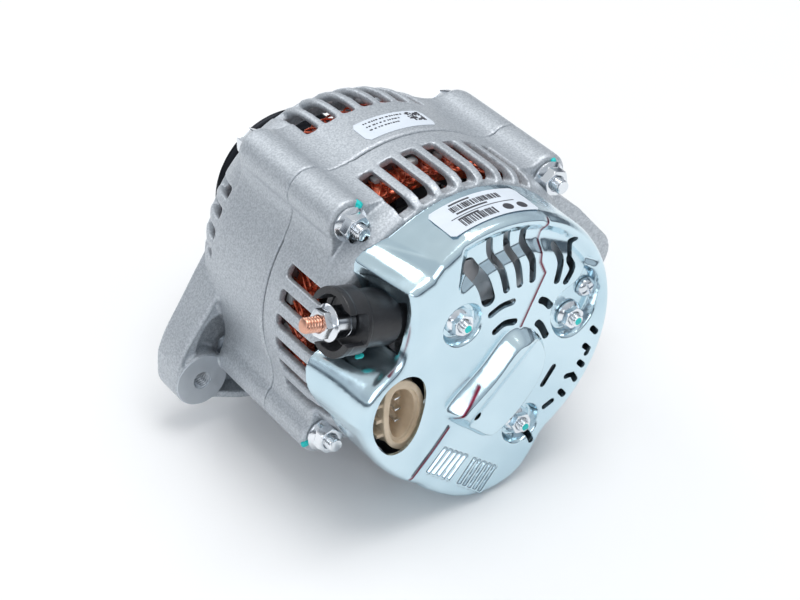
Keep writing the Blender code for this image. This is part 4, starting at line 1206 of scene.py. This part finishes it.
def housing_label(rng):
    """Label on the barrel: three rows of short bars and a patch of random cells."""
    settle(patch(band(67.5, 98.0, 34.0, 46.5, 24, 2.2), BARREL_R + 0.05), "housing_label", FIXED, PAPER)
    ink_r = BARREL_R + 0.18
    marks = []
    for row, y in enumerate((44.3, 41.8, 39.3)):
        angle = 94.0
        while angle > 78.0 + 2.0 * row:
            width = rng.choice((0.5, 0.8, 1.1))
            marks.append(patch(band(angle - width, angle, y - 0.35, y + 0.35, 2), ink_r))
            angle -= width + rng.choice((0.35, 0.5, 0.9))
    for column in range(9):
        for row in range(9):
            if rng.random() < 0.55:
                angle = 76.0 - column * 0.72
                y = 45.2 - row * 0.78
                marks.append(patch(band(angle - 0.7, angle, y - 0.76, y, 1), ink_r))
    settle(combined(marks), "housing_label_marks", FIXED, INK)


def cover_label(rng):
    """Label on the cover's wall: two rows of upright bars, lines and two dots."""
    settle(patch(band(66.0, 106.0, -30.4, -13.4, 30, 1.6), 57.95), "cover_label", FIXED, PAPER)
    ink_r = 58.1
    marks = []
    for (y_low, y_high), (first, last) in (((-19.4, -16.2), (76.5, 98.0)), ((-28.6, -24.4), (84.0, 99.0))):
        angle = last
        while angle > first:
            width = rng.choice((0.22, 0.3, 0.45, 0.7))
            marks.append(patch(band(angle - width, angle, y_low, y_high, 1), ink_r))
            angle -= width + rng.choice((0.25, 0.35, 0.6))
    marks.append(patch(band(73.0, 101.0, -22.6, -22.3, 12), ink_r))
    for y, first, last in ((-14.9, 88.0, 97.0), (-20.7, 84.0, 97.5), (-23.8, 90.0, 99.0)):
        marks.append(patch(band(first, last, y - 0.4, y + 0.4, 6), ink_r))
    turns = [2.0 * math.pi * step / 24 for step in range(24)]
    for angle in (72.0, 78.5):
        dot = [(angle + 2.1 * math.cos(turn), -26.4 + 2.1 * math.sin(turn)) for turn in turns]
        marks.append(patch(dot, ink_r))
    settle(combined(marks), "cover_label_marks", FIXED, INK)


def labels():
    rng = random.Random(4)
    housing_label(rng)
    cover_label(rng)


def blob(name, centre, radii, seed):
    """Dab of paint: an uneven drop with the given radii."""
    bm = bmesh.new()
    bmesh.ops.create_uvsphere(bm, u_segments=24, v_segments=14, radius=1.0)
    made = to_object(bm)
    for vertex in made.data.vertices:
        shake = 1.0 + 0.25 * noise.noise(vertex.co * 1.7 + Vector((seed, 0.0, 0.0)))
        vertex.co = Vector([vertex.co[i] * radii[i] * shake for i in range(3)])
    settle(moved(made, *centre), name, FIXED, PAINT)


def paint_marks():
    marks = (("boss_a", (-34.6, 3.4, 59.4), (1.6, 2.6, 1.5)),
             ("boss_b", (56.0, 3.2, 44.8), (1.5, 2.2, 1.8)),
             ("boss_c", (-60.6, 2.8, -41.0), (2.2, 0.9, 1.5)),
             ("plug", (-47.0, -27.5, -13.5), (1.2, 2.6, 1.4)),
             ("shroud", (-55.4, -27.8, 18.7), (1.8, 1.2, 0.9)))
    for seed, (name, centre, radii) in enumerate(marks, start=1):
        blob(f"paint_{name}", centre, radii, seed)


# ---- carried-over solids


def dress_cad_nodes():
    """Look of every CAD node by the first start of its name that fits; plated steel otherwise."""
    looks = (("bearing_retainer", BRIGHT), ("voltage_regulator", BLACK), ("brush_holder", BROWN),
             ("stator_core", LAMINATED), ("front_claw", LAMINATED), ("rear_claw", LAMINATED),
             ("field_coil", WIRE), ("rotor_shaft", STEEL), ("slip_ring_sleeve", BROWN),
             ("front_fan", DARK_STEEL), ("rear_fan", DARK_STEEL), ("rectifier_heat", CAST_CUT),
             ("rectifier_diode", DARK_STEEL), ("slip_ring_", COPPER), ("brush_spring", BRIGHT),
             ("brush_", CARBON), ("front_bearing", STEEL), ("rear_bearing", STEEL))
    for name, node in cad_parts.items():
        node.data.materials.clear()
        node.data.materials.append(next((look for start, look in looks if name.startswith(start)), BRIGHT))


def build():
    camera()
    floor()
    studio()
    lights()
    dress_cad_nodes()
    front_housing()
    rear_housing()
    windings()
    rear_cover()
    through_bolts()
    cover_fasteners()
    terminal()
    plug_socket()
    brush_springs()
    pulley()
    labels()
    paint_marks()


build()
